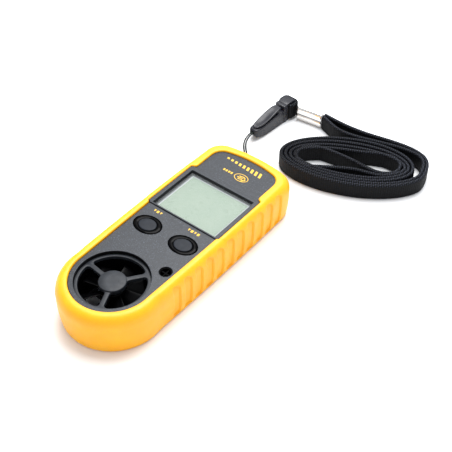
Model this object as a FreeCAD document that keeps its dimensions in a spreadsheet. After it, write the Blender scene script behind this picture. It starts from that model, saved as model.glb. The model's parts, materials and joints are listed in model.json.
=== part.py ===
"""Pocket vane anemometer with its wrist lanyard, as a parametric FreeCAD document.

The instrument lies on its back. X runs across the face, Y from the lanyard end to the
rotor end, Z out of the display. The origin is the bottom centre of the instrument.
"""
import FreeCAD, Part
import math
import os
import re
import Sketcher

V = FreeCAD.Vector
UP = V(0, 0, 1)

# Driving dimensions in millimetres and degrees: alias, value, meaning.
SIZES = {
    # jacket
    "body_len": (108.0, "length of the jacketed instrument"),
    "body_high": (17.9, "height to the crest of the jacket lip"),
    "jacket_nose_r": (20.52, "radius of the rotor end"),
    "jacket_side_r": (1500.0, "radius of the slightly bowed sides"),
    "jacket_half": (20.86, "largest half width"),
    "jacket_half_y": (-11.0, "where the largest half width lies"),
    "jacket_waist_r": (60.0, "hollow between the nose and the sides"),
    "jacket_corner_r": (8.3, "corner radius at the lanyard end"),
    "jacket_tail_r": (70.0, "bow of the lanyard end"),
    "jacket_wall": (2.3, "thickness of the jacket's side wall"),
    "jacket_floor": (1.2, "thickness of the jacket's bottom lip"),
    "jacket_top_fillet": (3.2, "rounding of the upper edge"),
    "jacket_low_fillet": (2.5, "rounding of the lower edge"),
    "jacket_lip_fillet": (0.45, "rounding of the lip's inner edge"),
    "jacket_back_rim": (5.0, "width of the jacket's rim seen from the back"),
    "flute_count": (11, "grip flutes on each side"),
    "flute_first_y": (-43.0, "centre of the flute nearest the lanyard end"),
    "flute_pitch": (6.22, "distance between flutes"),
    "flute_wide": (3.2, "width of a flute"),
    "flute_deep": (0.55, "depth of a flute"),
    "flute_top": (12.8, "height of a flute's rounded top"),
    "flute_low": (0.5, "height of a flute's lower end"),
    "skin_gap": (0.05, "assembly gap between fixed pieces"),
    # case
    "rotor_y": (33.14, "rotor axis"),
    "part_line": (8.9, "height of the joint between the covers"),
    "case_wall": (1.4, "wall of both covers"),
    "shoulder_z": (15.6, "top of the front cover under the jacket lip"),
    "face_z": (17.08, "front face"),
    "frame_z": (17.57, "raised display frame"),
    "opening_fillet": (0.2, "rounding of the edges of the openings"),
    "plateau_fillet": (0.3, "rounding of the front face's edge"),
    "frame_fillet": (0.25, "rounding of the raised frame's edge"),
    "frame_corner": (1.2, "corner radius of the raised frame"),
    "back_z": (0.35, "back face of the rear cover"),
    "face_nose_r": (16.0, "front face radius at the rotor end"),
    "face_side_r": (3000.0, "bow of the front face's sides"),
    "face_half": (16.85, "half width of the front face"),
    "face_half_y": (-41.0, "where that half width lies"),
    "face_waist_r": (60.0, "hollow beside the front face's nose"),
    "face_corner_r": (5.5, "front face corners"),
    "face_tail_r": (55.0, "bow of the front face's lower edge"),
    "face_tail_y": (-49.06, "lower end of the front face"),
    # display
    "frame_half": (17.35, "half width of the raised display frame"),
    "frame_top_y": (-5.3, "upper edge of the raised frame"),
    "frame_low_y": (-32.0, "lower edge of the raised frame"),
    "sight_half": (15.5, "half width of the display recess at the face"),
    "sight_top_y": (-5.96, "upper edge of the display recess"),
    "sight_low_y": (-29.96, "lower edge of the display recess"),
    "sight_slope": (0.5, "how far the recess walls slope in"),
    "window_top": (16.5, "outer face of the display window"),
    "window_thick": (1.0, "thickness of the display window"),
    "window_lap": (0.4, "how far the window laps under its frame"),
    "lcd_thick": (1.1, "display glass"),
    "light_thick": (1.9, "light guide behind the display"),
    # duct and rotor
    "duct_r": (14.0, "opening in both covers"),
    "guard_r": (12.6, "bore of the duct"),
    "guard_thick": (1.5, "thickness of a guard ring"),
    "guard_hub_r": (5.2, "guard hub"),
    "guard_hub_z": (16.1, "top of the front guard's hub"),
    "arm_wide": (1.8, "width of a guard arm"),
    "arm_angle": (-6.0, "bearing of the first guard arm"),
    "arm_lap": (0.4, "how far an arm runs into its ring"),
    "jewel_cover": (0.6, "material over a jewel bearing"),
    "arm_root_r": (1.3, "fillet where an arm meets the hub and the ring"),
    "blade_count": (8, "rotor blades"),
    "blade_pitch": (42.0, "blade angle to the rotor plane"),
    "blade_thick": (0.7, "blade thickness"),
    "rotor_tip_r": (12.0, "rotor tip radius"),
    "rotor_hub_r": (4.4, "rotor hub radius"),
    "rotor_low": (5.0, "lower face of the rotor"),
    "rotor_high": (12.6, "upper face of the rotor"),
    "axle_r": (0.5, "rotor axle"),
    "axle_run": (0.05, "running clearance of the axle"),
    "jewel_r": (1.25, "jewel bearing"),
    "jewel_thick": (1.4, "length of a jewel bearing"),
    "jewel_web": (0.4, "closed end of a jewel bearing"),
    "magnet_r": (2.4, "sensing magnet in the hub"),
    "magnet_thick": (3.0, "length of the sensing magnet"),
    # keys
    "key_x": (8.75, "key centres from the middle line"),
    "key_y": (4.49, "key centres along the instrument"),
    "well_rx": (6.2, "key well across"),
    "well_ry": (4.75, "key well along"),
    "cap_rx": (3.8, "grey key cap across"),
    "cap_ry": (3.05, "grey key cap along"),
    "cap_thick": (0.4, "grey key cap"),
    "cap_top": (17.33, "top of the key cap at rest"),
    "key_gap": (0.22, "clearance round a key"),
    "key_rim_z": (16.95, "lower edge of a key's bevel"),
    "key_low": (15.5, "underside of a key"),
    "key_flange": (0.7, "thickness of the flange that keeps a key in"),
    "flange_rx": (5.5, "key flange across"),
    "flange_ry": (5.35, "key flange along"),
    "key_stem_r": (1.5, "stem under a key"),
    "key_stem_z": (14.2, "foot of a key's stem"),
    "switch_side": (6.0, "tact switch body"),
    "switch_high": (2.4, "height of the tact switch body"),
    "plunger_r": (1.6, "tact switch plunger"),
    "plunger_low": (12.3, "foot of a tact switch plunger"),
    # display stack
    "glass_trim": (0.3, "how far the display glass stops short of the window's edge"),
    "glass_drop": (0.2, "how far the display glass lies below the middle of the recess"),
    "guide_wide": (27.0, "light guide across"),
    "guide_trim": (4.2, "how much shorter than the recess the light guide is"),
    "guide_lift": (0.6, "how far the light guide lies above the middle of the recess"),
    "holder_wide": (30.7, "display holder across"),
    "holder_grow": (0.2, "how much longer than the recess the display holder is"),
    "holder_run": (0.2, "slack round what the display holder holds"),
    "zebra_in": (1.4, "elastomeric connector from the lower edge of the recess"),
    "zebra_wide": (26.0, "elastomeric connector across"),
    "zebra_thick": (1.5, "elastomeric connector along"),
    # air temperature sensor
    "sense_x": (-12.64, "sensor port across"),
    "sense_y": (18.59, "sensor port along"),
    "sense_r": (2.45, "sensor port radius"),
    "bead_r": (0.85, "thermistor bead"),
    "bead_z": (13.7, "middle of the thermistor bead"),
    "lead_r": (0.2, "thermistor lead"),
    "lead_half": (0.5, "thermistor leads from their middle"),
    "shroud_low": (13.0, "foot of the sensor shroud"),
    "shroud_high": (16.7, "top of the sensor shroud"),
    "shroud_wall": (0.4, "wall of the sensor shroud"),
    "shroud_bar_z": (15.7, "underside of the shroud's cross"),
    "shroud_bar": (0.5, "width of the shroud's cross"),
    # circuit board
    "board_half": (16.3, "half width of the circuit board"),
    "board_top_y": (21.4, "upper edge of the circuit board"),
    "board_low_y": (-45.0, "lower edge of the circuit board"),
    "board_z": (9.6, "back face of the circuit board"),
    "board_thick": (1.0, "circuit board"),
    "chip_side": (14.0, "potted controller, side"),
    "chip_dome_r": (9.0, "dome of the potted controller"),
    "chip_high": (1.8, "height of the potted controller"),
    "crystal_r": (1.0, "clock crystal"),
    "crystal_long": (6.0, "length of the clock crystal"),
    "crystal_x": (9.0, "clock crystal across"),
    "crystal_y": (5.0, "clock crystal along"),
    "hall_x": (3.2, "magnet sensor across"),
    "hall_y": (16.2, "magnet sensor along"),
    "hall_wide": (2.9, "width of the magnet sensor"),
    "hall_long": (1.5, "length of the magnet sensor"),
    "hall_high": (1.1, "height of the magnet sensor"),
    "resistor_long": (1.6, "chip resistor, length"),
    "resistor_wide": (0.8, "chip resistor, width"),
    "resistor_high": (0.5, "chip resistor, height"),
    # fastenings
    "boss_r": (2.1, "screw bosses"),
    "boss_high_x": (13.2, "upper case screws across"),
    "boss_high_y": (12.2, "upper case screws along"),
    "boss_low_x": (12.6, "lower case screws across"),
    "boss_low_y": (-42.0, "lower case screws along"),
    "screw_r": (0.88, "screw shanks"),
    "screw_head_r": (1.7, "screw heads"),
    "screw_head": (1.3, "height of a screw head"),
    "recess_long": (2.0, "span of the cross recess in a screw head"),
    "recess_wide": (0.45, "width of the cross recess"),
    "recess_deep": (0.7, "depth of the cross recess"),
    "head_seat": (3.4, "depth of the screw seats in the rear cover"),
    "case_screw_top": (13.2, "tip of a case screw"),
    "mid_screw_y": (12.6, "board screw under the duct"),
    "low_screw_x": (9.0, "lower board screws across"),
    "low_screw_y": (-39.0, "lower board screws along"),
    # coin cell
    "cell_y": (-24.0, "centre of the coin cell"),
    "cell_r": (10.0, "coin cell radius"),
    "cell_thick": (3.2, "coin cell thickness"),
    "cell_low": (2.8, "lower face of the coin cell"),
    "can_step": (0.3, "how far the cell's can stops below its cap"),
    "cap_step": (1.4, "how far the cell's cap stops short of its rim"),
    "leaf_thick": (0.25, "spring contact"),
    "leaf_wide": (3.0, "width of the spring contact"),
    "leaf_knee": (8.0, "where the spring contact bends up, from the cell's middle"),
    "leaf_foot": (3.0, "foot of the spring contact on the board"),
    "leaf_tip": (0.5, "tip of the spring contact past the cell's middle"),
    "leaf_rise": (1.3, "rise of the spring contact at its knee"),
    "strip_thick": (0.3, "side contact"),
    "strip_wide": (3.8, "width of the side contact"),
    "strip_in": (0.4, "foot of the side contact above the cell's lower face"),
    "well_r": (10.4, "inside of the cell well"),
    "well_wall": (1.2, "wall of the cell well"),
    "well_roof": (0.9, "roof of the cell well"),
    "door_r": (11.7, "battery door radius"),
    "door_thick": (0.8, "battery door plate"),
    "door_run": (0.25, "clearance round the battery door"),
    "door_turn": (40.0, "turn that frees the bayonet"),
    "spigot_r": (10.1, "spigot of the battery door"),
    "tab_r": (11.3, "outer reach of the bayonet tabs"),
    "tab_low": (2.0, "lower face of the bayonet tabs"),
    "tab_high": (2.6, "upper face of the bayonet tabs"),
    "tab_wide": (4.0, "width of a bayonet tab"),
    "ledge_low": (1.25, "lower face of the bayonet ledge"),
    "ledge_high": (1.85, "upper face of the bayonet ledge"),
    "coin_slot": (12.0, "length of the door's coin slot"),
    # lanyard eye
    "eye_x": (6.0, "lanyard eye across"),
    "eye_z": (6.0, "lanyard eye height"),
    "eye_wide": (5.6, "lanyard eye width"),
    "eye_high": (4.4, "lanyard eye opening height"),
    "eye_bar_r": (0.9, "bar of the lanyard eye"),
    "eye_bar_y": (-50.0, "bar of the lanyard eye along"),
    # lanyard
    "string_d": (0.7, "lanyard string"),
    "strap_wide": (7.7, "webbing width"),
    "strap_pair": (3.2, "thickness of the two plies of webbing"),
    "clip_x": (21.2, "tip of the quick release across"),
    "clip_y": (-77.4, "tip of the quick release along"),
    "clip_turn": (-94.0, "heading of the quick release"),
    "clip_half": (2.6, "half width of the quick release"),
    "clip_tip_half": (1.9, "half width at its tip"),
    "clip_long": (18.7, "length of the string half"),
    "clip_high": (7.0, "height of the string half at its mouth"),
    "tongue_long": (6.0, "tongue of the strap half"),
    "fit_play": (0.02, "clearance of seats, pivots and screw holes"),
    "easy_play": (0.1, "end float and other loose clearances"),
    "past": (0.1, "how far a cutter reaches past the face that it opens"),
    "cavity_wall": (0.8, "side walls of the quick release's cavity"),
    "cavity_low": (1.2, "floor of the cavity"),
    "cavity_high": (4.6, "height of the cavity"),
    "hole_wide": (3.0, "string hole across"),
    "hole_high": (1.8, "string hole upright"),
    "hole_low": (3.3, "lower edge of the string hole"),
    "hole_deep": (3.6, "depth of the string hole"),
    "lever_trim": (0.3, "how much narrower the lever is on each side than the clip"),
    "block_soft": (0.4, "rounding of the block's free edges"),
    "slot_run": (0.15, "slack above and below the webbing in its slot"),
    "webbing_run": (0.12, "slack between the block's sides and the webbing"),
    "ring_run": (0.5, "slack between the block's end and the webbing"),
    "ring_soft": (1.6, "bend of the webbing round the block"),
    "neck_out": (0.75, "how far the webbing's neck reaches towards the ferrule"),
    "neck_lap": (0.2, "how far the neck laps into the ring"),
    "neck_long": (3.6, "width of the webbing's neck"),
    "neck_trim": (0.9, "how much lower the neck is than the webbing"),
    "tongue_gap": (0.3, "clearance round the tongue"),
    "release_out": (9.0, "travel that parts the quick release"),
    "collar_long": (1.7, "collar of the strap half"),
    "collar_high": (9.0, "height of the collar"),
    "block_long": (5.8, "block of the strap half"),
    "block_half": (2.45, "half width of the block"),
    "block_high": (9.2, "height of the block"),
    "slot_start": (0.7, "webbing slot behind the collar"),
    "slot_long": (2.0, "webbing slot along the block"),
    "slot_low": (0.7, "lower end of the webbing slot"),
    "ply": (1.5, "thickness of the webbing"),
    "lever_press": (4.0, "turn of the release lever"),
    "ferrule_x": (14.4, "start of the crimped ferrule across"),
    "ferrule_y": (-102.9, "start of the crimped ferrule along"),
    "ferrule_turn": (-173.5, "heading of the ferrule"),
    "ferrule_long": (12.5, "length of the ferrule"),
    "ferrule_high": (7.4, "height of the ferrule"),
    "ferrule_wide": (3.9, "thickness of the ferrule"),
    "ferrule_wall": (0.35, "metal of the ferrule"),
    "coil_x": (-25.85, "middle of the coiled strap across"),
    "coil_y": (-86.07, "middle of the coiled strap along"),
    "coil_turn": (25.7, "tilt of the coil"),
    "coil_half_long": (31.75, "half length of the coil"),
    "coil_half_wide": (15.7, "half width of the coil"),
}

doc = FreeCAD.newDocument("vane_anemometer")
sheet = doc.addObject("Spreadsheet::Sheet", "Sizes")
for row, (alias, (value, meaning)) in enumerate(SIZES.items(), 1):
    sheet.set(f"A{row}", str(value))
    sheet.setAlias(f"A{row}", alias)
    sheet.set(f"B{row}", meaning)
doc.recompute()


# ---------------------------------------------------------------- helpers

def size(alias):
    """A driving dimension, read back from the sheet."""
    return float(sheet.get(alias))


def in_sheet(formula):
    """A formula with every alias pointed at the sheet."""
    return re.sub(r"[a-z]\w*", lambda m: "Sizes." + m[0] if m[0] in SIZES else m[0], str(formula))


def worked_out(formula):
    """The value of a formula of aliases."""
    return float(sheet.evalExpression(in_sheet(formula)))


def bind(obj, **formulas):
    """Bind properties to formulas; at=(x, y, z) binds the placement."""
    place = formulas.pop("at", None)
    for prop, formula in formulas.items():
        obj.setExpression(prop, in_sheet(formula))
    if place:
        for axis, formula in zip("xyz", place):
            obj.setExpression(f"Placement.Base.{axis}", in_sheet(formula))
    return obj


def box(name, at, dx, dy, dz):
    """A block with its lowest corner at a place."""
    return bind(doc.addObject("Part::Box", name), Length=dx, Width=dy, Height=dz, at=at)


def centred_box(name, at, dx, dy, dz):
    """A block centred over a place, standing on its height."""
    x, y, z = at
    return box(name, (f"({x}) - ({dx}) / 2", f"({y}) - ({dy}) / 2", z), dx, dy, dz)


def cylinder(name, at, radius, height):
    """An upright cylinder."""
    return bind(doc.addObject("Part::Cylinder", name), Radius=radius, Height=height, at=at)


def oval(name, at, rx, ry, height):
    """An upright elliptical prism."""
    disc = bind(doc.addObject("Part::Ellipse", name + "_line"), MajorRadius=rx, MinorRadius=ry, at=at)
    return extrude(name, disc, height)


def extrude(name, profile, height, lift=None):
    """A prism on a flat closed profile."""
    prism = doc.addObject("Part::Extrusion", name)
    prism.Base = profile
    prism.DirMode = "Custom"
    prism.Dir = UP
    prism.Solid = True
    bind(prism, LengthFwd=height)
    if lift is not None:
        bind(prism, at=("0", "0", lift))
    return prism


def inset(name, profile, distance):
    """The same outline, moved inwards."""
    offset = doc.addObject("Part::Offset2D", name)
    offset.Source = profile
    return bind(offset, Value=f"-({distance})")


def fuse(name, *parts):
    """Several shapes as one."""
    joined = doc.addObject("Part::MultiFuse", name)
    joined.Shapes = list(parts)
    return joined


def cut(name, base, *tools):
    """A shape with others taken away."""
    piece = doc.addObject("Part::Cut", name)
    piece.Base = base
    piece.Tool = tools[0] if len(tools) == 1 else fuse(name + "_tools", *tools)
    return piece


def common(name, *parts):
    """What several shapes share."""
    shared = doc.addObject("Part::MultiCommon", name)
    shared.Shapes = list(parts)
    return shared


def fillet(name, base, radius, chosen):
    """Round the edges that a test picks."""
    doc.recompute()
    rounded = doc.addObject("Part::Fillet", name)
    rounded.Base = base
    edges = base.Shape.Edges
    rounded.Edges = [(i + 1, radius, radius) for i, edge in enumerate(edges) if chosen(edge)]
    return rounded


def at_height(z):
    """A test for edges that lie at one height."""
    return lambda e: abs(e.BoundBox.ZMin - z) < 1e-4 and abs(e.BoundBox.ZMax - z) < 1e-4


NODES = []


def node(name, obj):
    """Register a finished sub-part under the name of its file."""
    obj.Label = name
    NODES.append((name, obj))
    return obj


# ---------------------------------------------------------------- outlines

def crossing(c0, r0, c1, r1, side):
    """Where two circles cross, on the chosen side of the line between their centres."""
    gap = math.dist(c0, c1)
    along = (r0 * r0 - r1 * r1 + gap * gap) / (2 * gap)
    off = side * math.sqrt(r0 * r0 - along * along)
    ux, uy = (c1[0] - c0[0]) / gap, (c1[1] - c0[1]) / gap
    return c0[0] + along * ux - off * uy, c0[1] + along * uy + off * ux


def toward(c0, c1):
    """Heading from one point to another."""
    return math.atan2(c1[1] - c0[1], c1[0] - c0[0])


def sketch_on(body, role, name):
    """A sketch on one of the body's own origin planes."""
    plane = next(f for f in body.Origin.OriginFeatures if f.Role == role)
    sketch = body.newObject("Sketcher::SketchObject", name)
    sketch.AttachmentSupport = [(plane, "")]
    sketch.MapMode = "FlatFace"
    return sketch


def drive(sketch, kind, *refs_and_formula):
    """Add a dimension to a sketch and bind it to a formula."""
    *refs, formula = refs_and_formula
    start = worked_out(formula)
    index = sketch.addConstraint(Sketcher.Constraint(kind, *refs, start))
    sketch.setExpression(f"Constraints[{index}]", in_sheet(formula))


def capsule(name, family, nose_y, tail_y):
    """Closed outline of eight tangent arcs: nose, waists, bowed sides, corners and tail.

    family is the start of the aliases that hold its radii.
    """
    nose_r, side_r, half, half_y, waist_r, corner_r, tail_r = (
        size(f"{family}_{key}") for key in ("nose_r", "side_r", "half", "half_y", "waist_r", "corner_r",
                                            "tail_r"))
    sketch = doc.addObject("Sketcher::SketchObject", name)
    nose = (0, worked_out(nose_y))
    tail = (0, worked_out(tail_y) + tail_r)
    side = (half - side_r, half_y)
    waist = crossing(nose, nose_r + waist_r, side, side_r + waist_r, 1)
    corner = crossing(side, side_r - corner_r, tail, tail_r - corner_r, -1)
    turn = math.pi

    def arc(centre, radius, start, end):
        circle = Part.Circle(V(*centre, 0), UP, radius)
        return sketch.addGeometry(Part.ArcOfCircle(circle, start, end), False)

    def mirrored(centre):
        return -centre[0], centre[1]

    def mirrored_arc(centre, radius, start, end):
        return arc(mirrored(centre), radius, turn - end, turn - start)

    # Counter-clockwise from the tail, the right side first.
    low = toward(tail, corner)
    bend = (toward(side, corner), toward(side, waist))
    hollow = (toward(waist, nose), toward(waist, side) % (2 * turn))
    top = toward(nose, waist)
    geo = [
        arc(tail, tail_r, -turn - low, low),
        arc(corner, corner_r, low, bend[0]),
        arc(side, side_r, *bend),
        arc(waist, waist_r, *hollow),
        arc(nose, nose_r, top, turn - top),
        mirrored_arc(waist, waist_r, *hollow),
        mirrored_arc(side, side_r, *bend),
        mirrored_arc(corner, corner_r, low, bend[0]),
    ]
    # The waists run clockwise along the outline, so they join at their other ends.
    first = [1, 1, 1, 2, 1, 2, 1, 1]
    last = [2, 2, 2, 1, 2, 1, 2, 2]
    for i in range(8):
        j = (i + 1) % 8
        sketch.addConstraint(Sketcher.Constraint("Tangent", geo[i], last[i], geo[j], first[j]))

    radii = ["tail_r", "corner_r", "side_r", "waist_r", "nose_r", "waist_r", "side_r", "corner_r"]
    for index, key in zip(geo, radii):
        drive(sketch, "Radius", index, f"{family}_{key}")
    for index, x, y in (
            (geo[4], "0", nose_y),
            (geo[0], "0", f"({tail_y}) + {family}_tail_r"),
            (geo[2], f"{family}_half - {family}_side_r", f"{family}_half_y"),
            (geo[6], f"{family}_side_r - {family}_half", f"{family}_half_y")):
        drive(sketch, "DistanceX", -1, 1, index, 3, x)
        drive(sketch, "DistanceY", -1, 1, index, 3, y)
    return sketch


def rounded_bar(name, x0, x1, y0, y1, z0, z1, radius):
    """A block between two corners, with its upright edges rounded."""
    block = box(name + "_block", (x0, y0, z0), f"({x1}) - ({x0})", f"({y1}) - ({y0})", f"({z1}) - ({z0})")
    return fillet(name, block, radius, upright)


def upright(edge):
    """A test for straight vertical edges."""
    bounds = edge.BoundBox
    return bounds.ZLength > 1e-3 and bounds.XLength < 1e-4 and bounds.YLength < 1e-4


# ---------------------------------------------------------------- jacket

JACKET = capsule("jacket_line", "jacket", "body_len / 2 - jacket_nose_r", "-body_len / 2")
FACE = capsule("face_line", "face", "rotor_y", "face_tail_y")
CASE = inset("case_line", JACKET, "jacket_wall + skin_gap")


def flute(index, side):
    """Cutter for one grip flute: a rounded slot that runs out under the lower edge."""
    y = f"flute_first_y + {index} * flute_pitch"
    deep = f"jacket_half - ({y} - jacket_half_y) ^ 2 / (2 * jacket_side_r) - flute_deep"
    start = deep if side > 0 else f"-({deep}) - 2 * flute_deep"
    reach = "2 * flute_deep"
    name = f"flute_{'left' if side < 0 else 'right'}_{index}"
    slot = box(name + "_slot", (start, f"{y} - flute_wide / 2", "flute_low"),
               reach, "flute_wide", "flute_top - flute_wide / 2 - flute_low")
    crown = doc.addObject("Part::Cylinder", name + "_crown")
    crown.Placement = FreeCAD.Placement(V(), FreeCAD.Rotation(V(0, 1, 0), 90))
    bind(crown, Radius="flute_wide / 2", Height=reach, at=(start, y, "flute_top - flute_wide / 2"))
    return fuse(name, slot, crown)


def rubber_boot():
    """Yellow rubber jacket: a shell that grips the case round its sides, face edge and back edge."""
    block = extrude("jacket_block", JACKET, "body_high")
    soft = fillet("jacket_crest", block, size("jacket_top_fillet"), at_height(size("body_high")))
    soft = fillet("jacket_keel", soft, size("jacket_low_fillet"), at_height(0))
    window = extrude("jacket_window", inset("jacket_window_line", FACE, "-skin_gap"), "body_high",
                     "shoulder_z - 1")
    opened = cut("jacket_opened", soft, window)
    lip_height = at_height(size("body_high"))
    doc.recompute()
    rim = window.Base.Shape

    def on_lip(edge):
        middle = edge.valueAt((edge.FirstParameter + edge.LastParameter) / 2)
        return lip_height(edge) and rim.distToShape(Part.Vertex(middle.x, middle.y, 0))[0] < size("skin_gap")

    lipped = fillet("jacket_lip", opened, size("jacket_lip_fillet"), on_lip)
    cavity = extrude("jacket_cavity", inset("jacket_cavity_line", JACKET, "jacket_wall"),
                     "shoulder_z - jacket_floor", "jacket_floor")
    back = extrude("jacket_back", inset("jacket_back_line", JACKET, "jacket_back_rim"), "2 * jacket_floor",
                   "-jacket_floor / 2")
    frame = rounded_bar("jacket_frame_cut", "-frame_half - skin_gap", "frame_half + skin_gap",
                        "frame_low_y - skin_gap", "frame_top_y + skin_gap", "shoulder_z - 1",
                        "body_high + 1", size("frame_corner"))
    eye = centred_box("jacket_eye", ("eye_x", "-body_len / 2 + jacket_wall / 2", "eye_z - eye_high / 2"),
                      "eye_wide", "3 * jacket_wall", "eye_high")
    flutes = [flute(i, side) for side in (-1, 1) for i in range(int(size("flute_count")))]
    return cut("jacket", lipped, cavity, back, frame, eye, *flutes)


# ---------------------------------------------------------------- case

BOSSES = [(f"{sx} * boss_{end}_x", f"boss_{end}_y") for end in ("high", "low") for sx in (-1, 1)]
POSTS = [("0", "mid_screw_y"), ("-low_screw_x", "low_screw_y"), ("low_screw_x", "low_screw_y")]


def columns(name, places, z, radius, height):
    """One cylinder at each place."""
    return [cylinder(f"{name}_{i}", (x, y, z), radius, height) for i, (x, y) in enumerate(places)]


def display_recess():
    """Cutter with sloping walls from the raised frame down to the display window."""
    wedge = doc.addObject("Part::Wedge", "display_recess")
    wedge.Placement = FreeCAD.Placement(V(), FreeCAD.Rotation(V(1, 0, 0), 90))
    flare = "sight_slope"
    return bind(
        wedge, Ymin="window_top - 0.01", Ymax="frame_z + 0.01",
        Xmin=f"{flare} - sight_half", Xmax=f"sight_half - {flare}",
        Zmin=f"{flare} - sight_top_y", Zmax=f"-sight_low_y - {flare}",
        X2min="-sight_half", X2max="sight_half", Z2min="-sight_top_y", Z2max="-sight_low_y")


def opening_edge(edge):
    """A test for the upper edges of the key wells, sensor port, duct opening and display recess."""
    if at_height(size("face_z"))(edge):
        curve = edge.Curve
        bores = (size("duct_r"), size("sense_r"))
        round_bore = isinstance(curve, Part.Circle) and min(abs(curve.Radius - r) for r in bores) < 1e-3
        return round_bore or isinstance(curve, Part.Ellipse)
    bounds = edge.BoundBox
    margin = size("past")
    within = bounds.YMin > size("sight_low_y") - margin and bounds.YMax < size("sight_top_y") + margin
    return at_height(size("frame_z"))(edge) and within and bounds.XMax < size("sight_half") + size("past")


def front_cover():
    """Grey front shell with the display frame, key wells, sensor port and duct opening."""
    shell = extrude("front_shell", CASE, "shoulder_z - skin_gap - part_line", "part_line")
    plateau = extrude("front_plateau", FACE, "face_z - part_line", "part_line")
    edged = fillet("front_plateau_soft", plateau, size("plateau_fillet"), at_height(size("face_z")))
    frame = rounded_bar("front_frame_block", "-frame_half", "frame_half", "frame_low_y", "frame_top_y",
                        "shoulder_z - 0.5", "frame_z", size("frame_corner"))
    frame = fillet("front_frame", frame, size("frame_fillet"), at_height(size("frame_z")))
    low = extrude("front_hollow_low", inset("front_hollow_line", CASE, "case_wall"),
                  "shoulder_z - case_wall - part_line + 1", "part_line - 1")
    high = extrude("front_hollow_high", inset("front_hollow_line_high", FACE, "case_wall"),
                   "face_z - case_wall - part_line", "part_line")
    solid = cut("front_body", fuse("front_outer", shell, edged, frame), low, high)
    roof = "face_z - case_wall + past"
    bosses = columns("front_boss", BOSSES, "part_line", "boss_r", f"{roof} - part_line")
    posts = columns("front_post", POSTS, "board_z + board_thick", "boss_r - 0.3",
                    f"{roof} - board_z - board_thick")
    solid = fuse("front_bossed", solid, *bosses, *posts)
    bores = columns("front_bore", BOSSES, "part_line - 1", "screw_r + fit_play",
                    "case_screw_top - part_line + 1.6")
    bores += columns("front_post_bore", POSTS, "board_z", "screw_r + fit_play",
                     "case_screw_top - board_z + 0.6")
    wells = [oval(f"key_well_{i}", (x, "key_y", "shoulder_z - 3"), "well_rx", "well_ry",
                  "4 + face_z - shoulder_z")
             for i, x in enumerate(("-key_x", "key_x"))]
    port = cylinder("sensor_port", ("sense_x", "sense_y", "shoulder_z - 3"), "sense_r", "5")
    duct = cylinder("front_duct", ("0", "rotor_y", "part_line - 1"), "duct_r", "body_high")
    half = "sight_half - sight_slope + window_lap + skin_gap"
    middle = "(sight_low_y + sight_top_y) / 2"
    pocket = centred_box("window_pocket", ("0", middle, "part_line"), f"2 * ({half})",
                         "sight_top_y - sight_low_y + 2 * (window_lap + skin_gap - sight_slope)",
                         "window_top - part_line")
    opened = cut("front_opened", solid, *bores, *wells, port, duct, pocket, display_recess())
    return fillet("front", opened, size("opening_fillet"), opening_edge)


def rear_cover():
    """Grey rear tray with the cell well, bayonet ledge, screw seats and lanyard eye."""
    floor = "(jacket_floor + skin_gap)"
    tray = extrude("rear_tray", CASE, f"part_line - {floor} - skin_gap", floor)
    back = extrude("rear_plateau", inset("rear_plateau_line", JACKET, "jacket_back_rim + skin_gap"),
                   f"{floor} + 0.2 - back_z", "back_z")
    hollow = extrude("rear_hollow", inset("rear_hollow_line", CASE, "case_wall"), "part_line",
                     f"{floor} + case_wall")
    solid = cut("rear_body", fuse("rear_outer", tray, back), hollow)
    middle = ("0", "cell_y")
    well_top = "(cell_low + cell_thick + easy_play)"
    well = cylinder("well_wall", (*middle, floor), "well_r + well_wall", f"{well_top} + well_roof - {floor}")
    seats = columns("rear_boss", BOSSES, floor, "boss_r + 0.6", f"part_line - skin_gap - {floor}")
    eye_depth = "(body_len / 2 + eye_bar_y)"
    eye_block = centred_box("eye_block", ("eye_x", "eye_bar_y + 1", floor), "eye_wide + 2.2",
                            f"2 * ({eye_depth})", f"part_line - skin_gap - {floor}")
    eye_block = common("eye_block_in_case", eye_block, extrude("eye_case", CASE, "part_line"))
    solid = fuse("rear_bossed", solid, well, *seats, eye_block)
    bar = cylinder("eye_bar", ("eye_x", "eye_bar_y", "eye_z - eye_high / 2 - 0.5"), "eye_bar_r",
                   "eye_high + 1")
    eye = box("eye_hole", ("eye_x - eye_wide / 2", "-body_len / 2", "eye_z - eye_high / 2"),
              "eye_wide", f"{eye_depth} + 3.6", "eye_high")
    holes = columns("rear_screw_hole", BOSSES, "0", "screw_r + 0.25", "part_line + 1")
    holes += columns("rear_screw_seat", BOSSES, "0", "screw_head_r + 0.15", "head_seat")
    duct = cylinder("rear_duct", ("0", "rotor_y", "-1"), "duct_r", "part_line + 2")
    doorway = cylinder("doorway", (*middle, "-1"), "door_r + door_run", "1 + ledge_low")
    mouth = cylinder("well_mouth", (*middle, "0"), "well_r", well_top)
    groove = cylinder("bayonet_groove", (*middle, "ledge_high"), "tab_r + 0.2",
                      "tab_high + 0.05 - ledge_high")
    gates = [bayonet_gate(i) for i in range(3)]
    leaf_slot = centred_box("leaf_slot", ("0", "cell_y + 2", "cell_low + cell_thick"), "4.4", "13", "3")
    side_slot = centred_box("side_slot", ("well_r - 0.2", "cell_y", "cell_low"), "0.9", "4.6", "6")
    opened = cut("rear_opened", solid, eye, *holes, duct, doorway, mouth, groove, *gates, leaf_slot,
                 side_slot)
    return fuse("rear", opened, bar)


def bayonet_gate(index):
    """Cutter for one entry notch of the bayonet, where a tab comes out of the groove."""
    gate = doc.addObject("Part::Box", f"bayonet_gate_{index}")
    turn = 120 * index + size("door_turn") + 30
    heading = FreeCAD.Rotation(UP, turn)
    wide = size("tab_wide") + 0.8
    corner = heading.multVec(V(0, -wide / 2, 0))
    gate.Placement = FreeCAD.Placement(V(), heading)
    return bind(gate, Length="tab_r + 0.2", Width="tab_wide + 0.8", Height="ledge_high",
                at=(f"{corner.x:.4f}", f"cell_y + {corner.y:.4f}", "ledge_low - past"))


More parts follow.
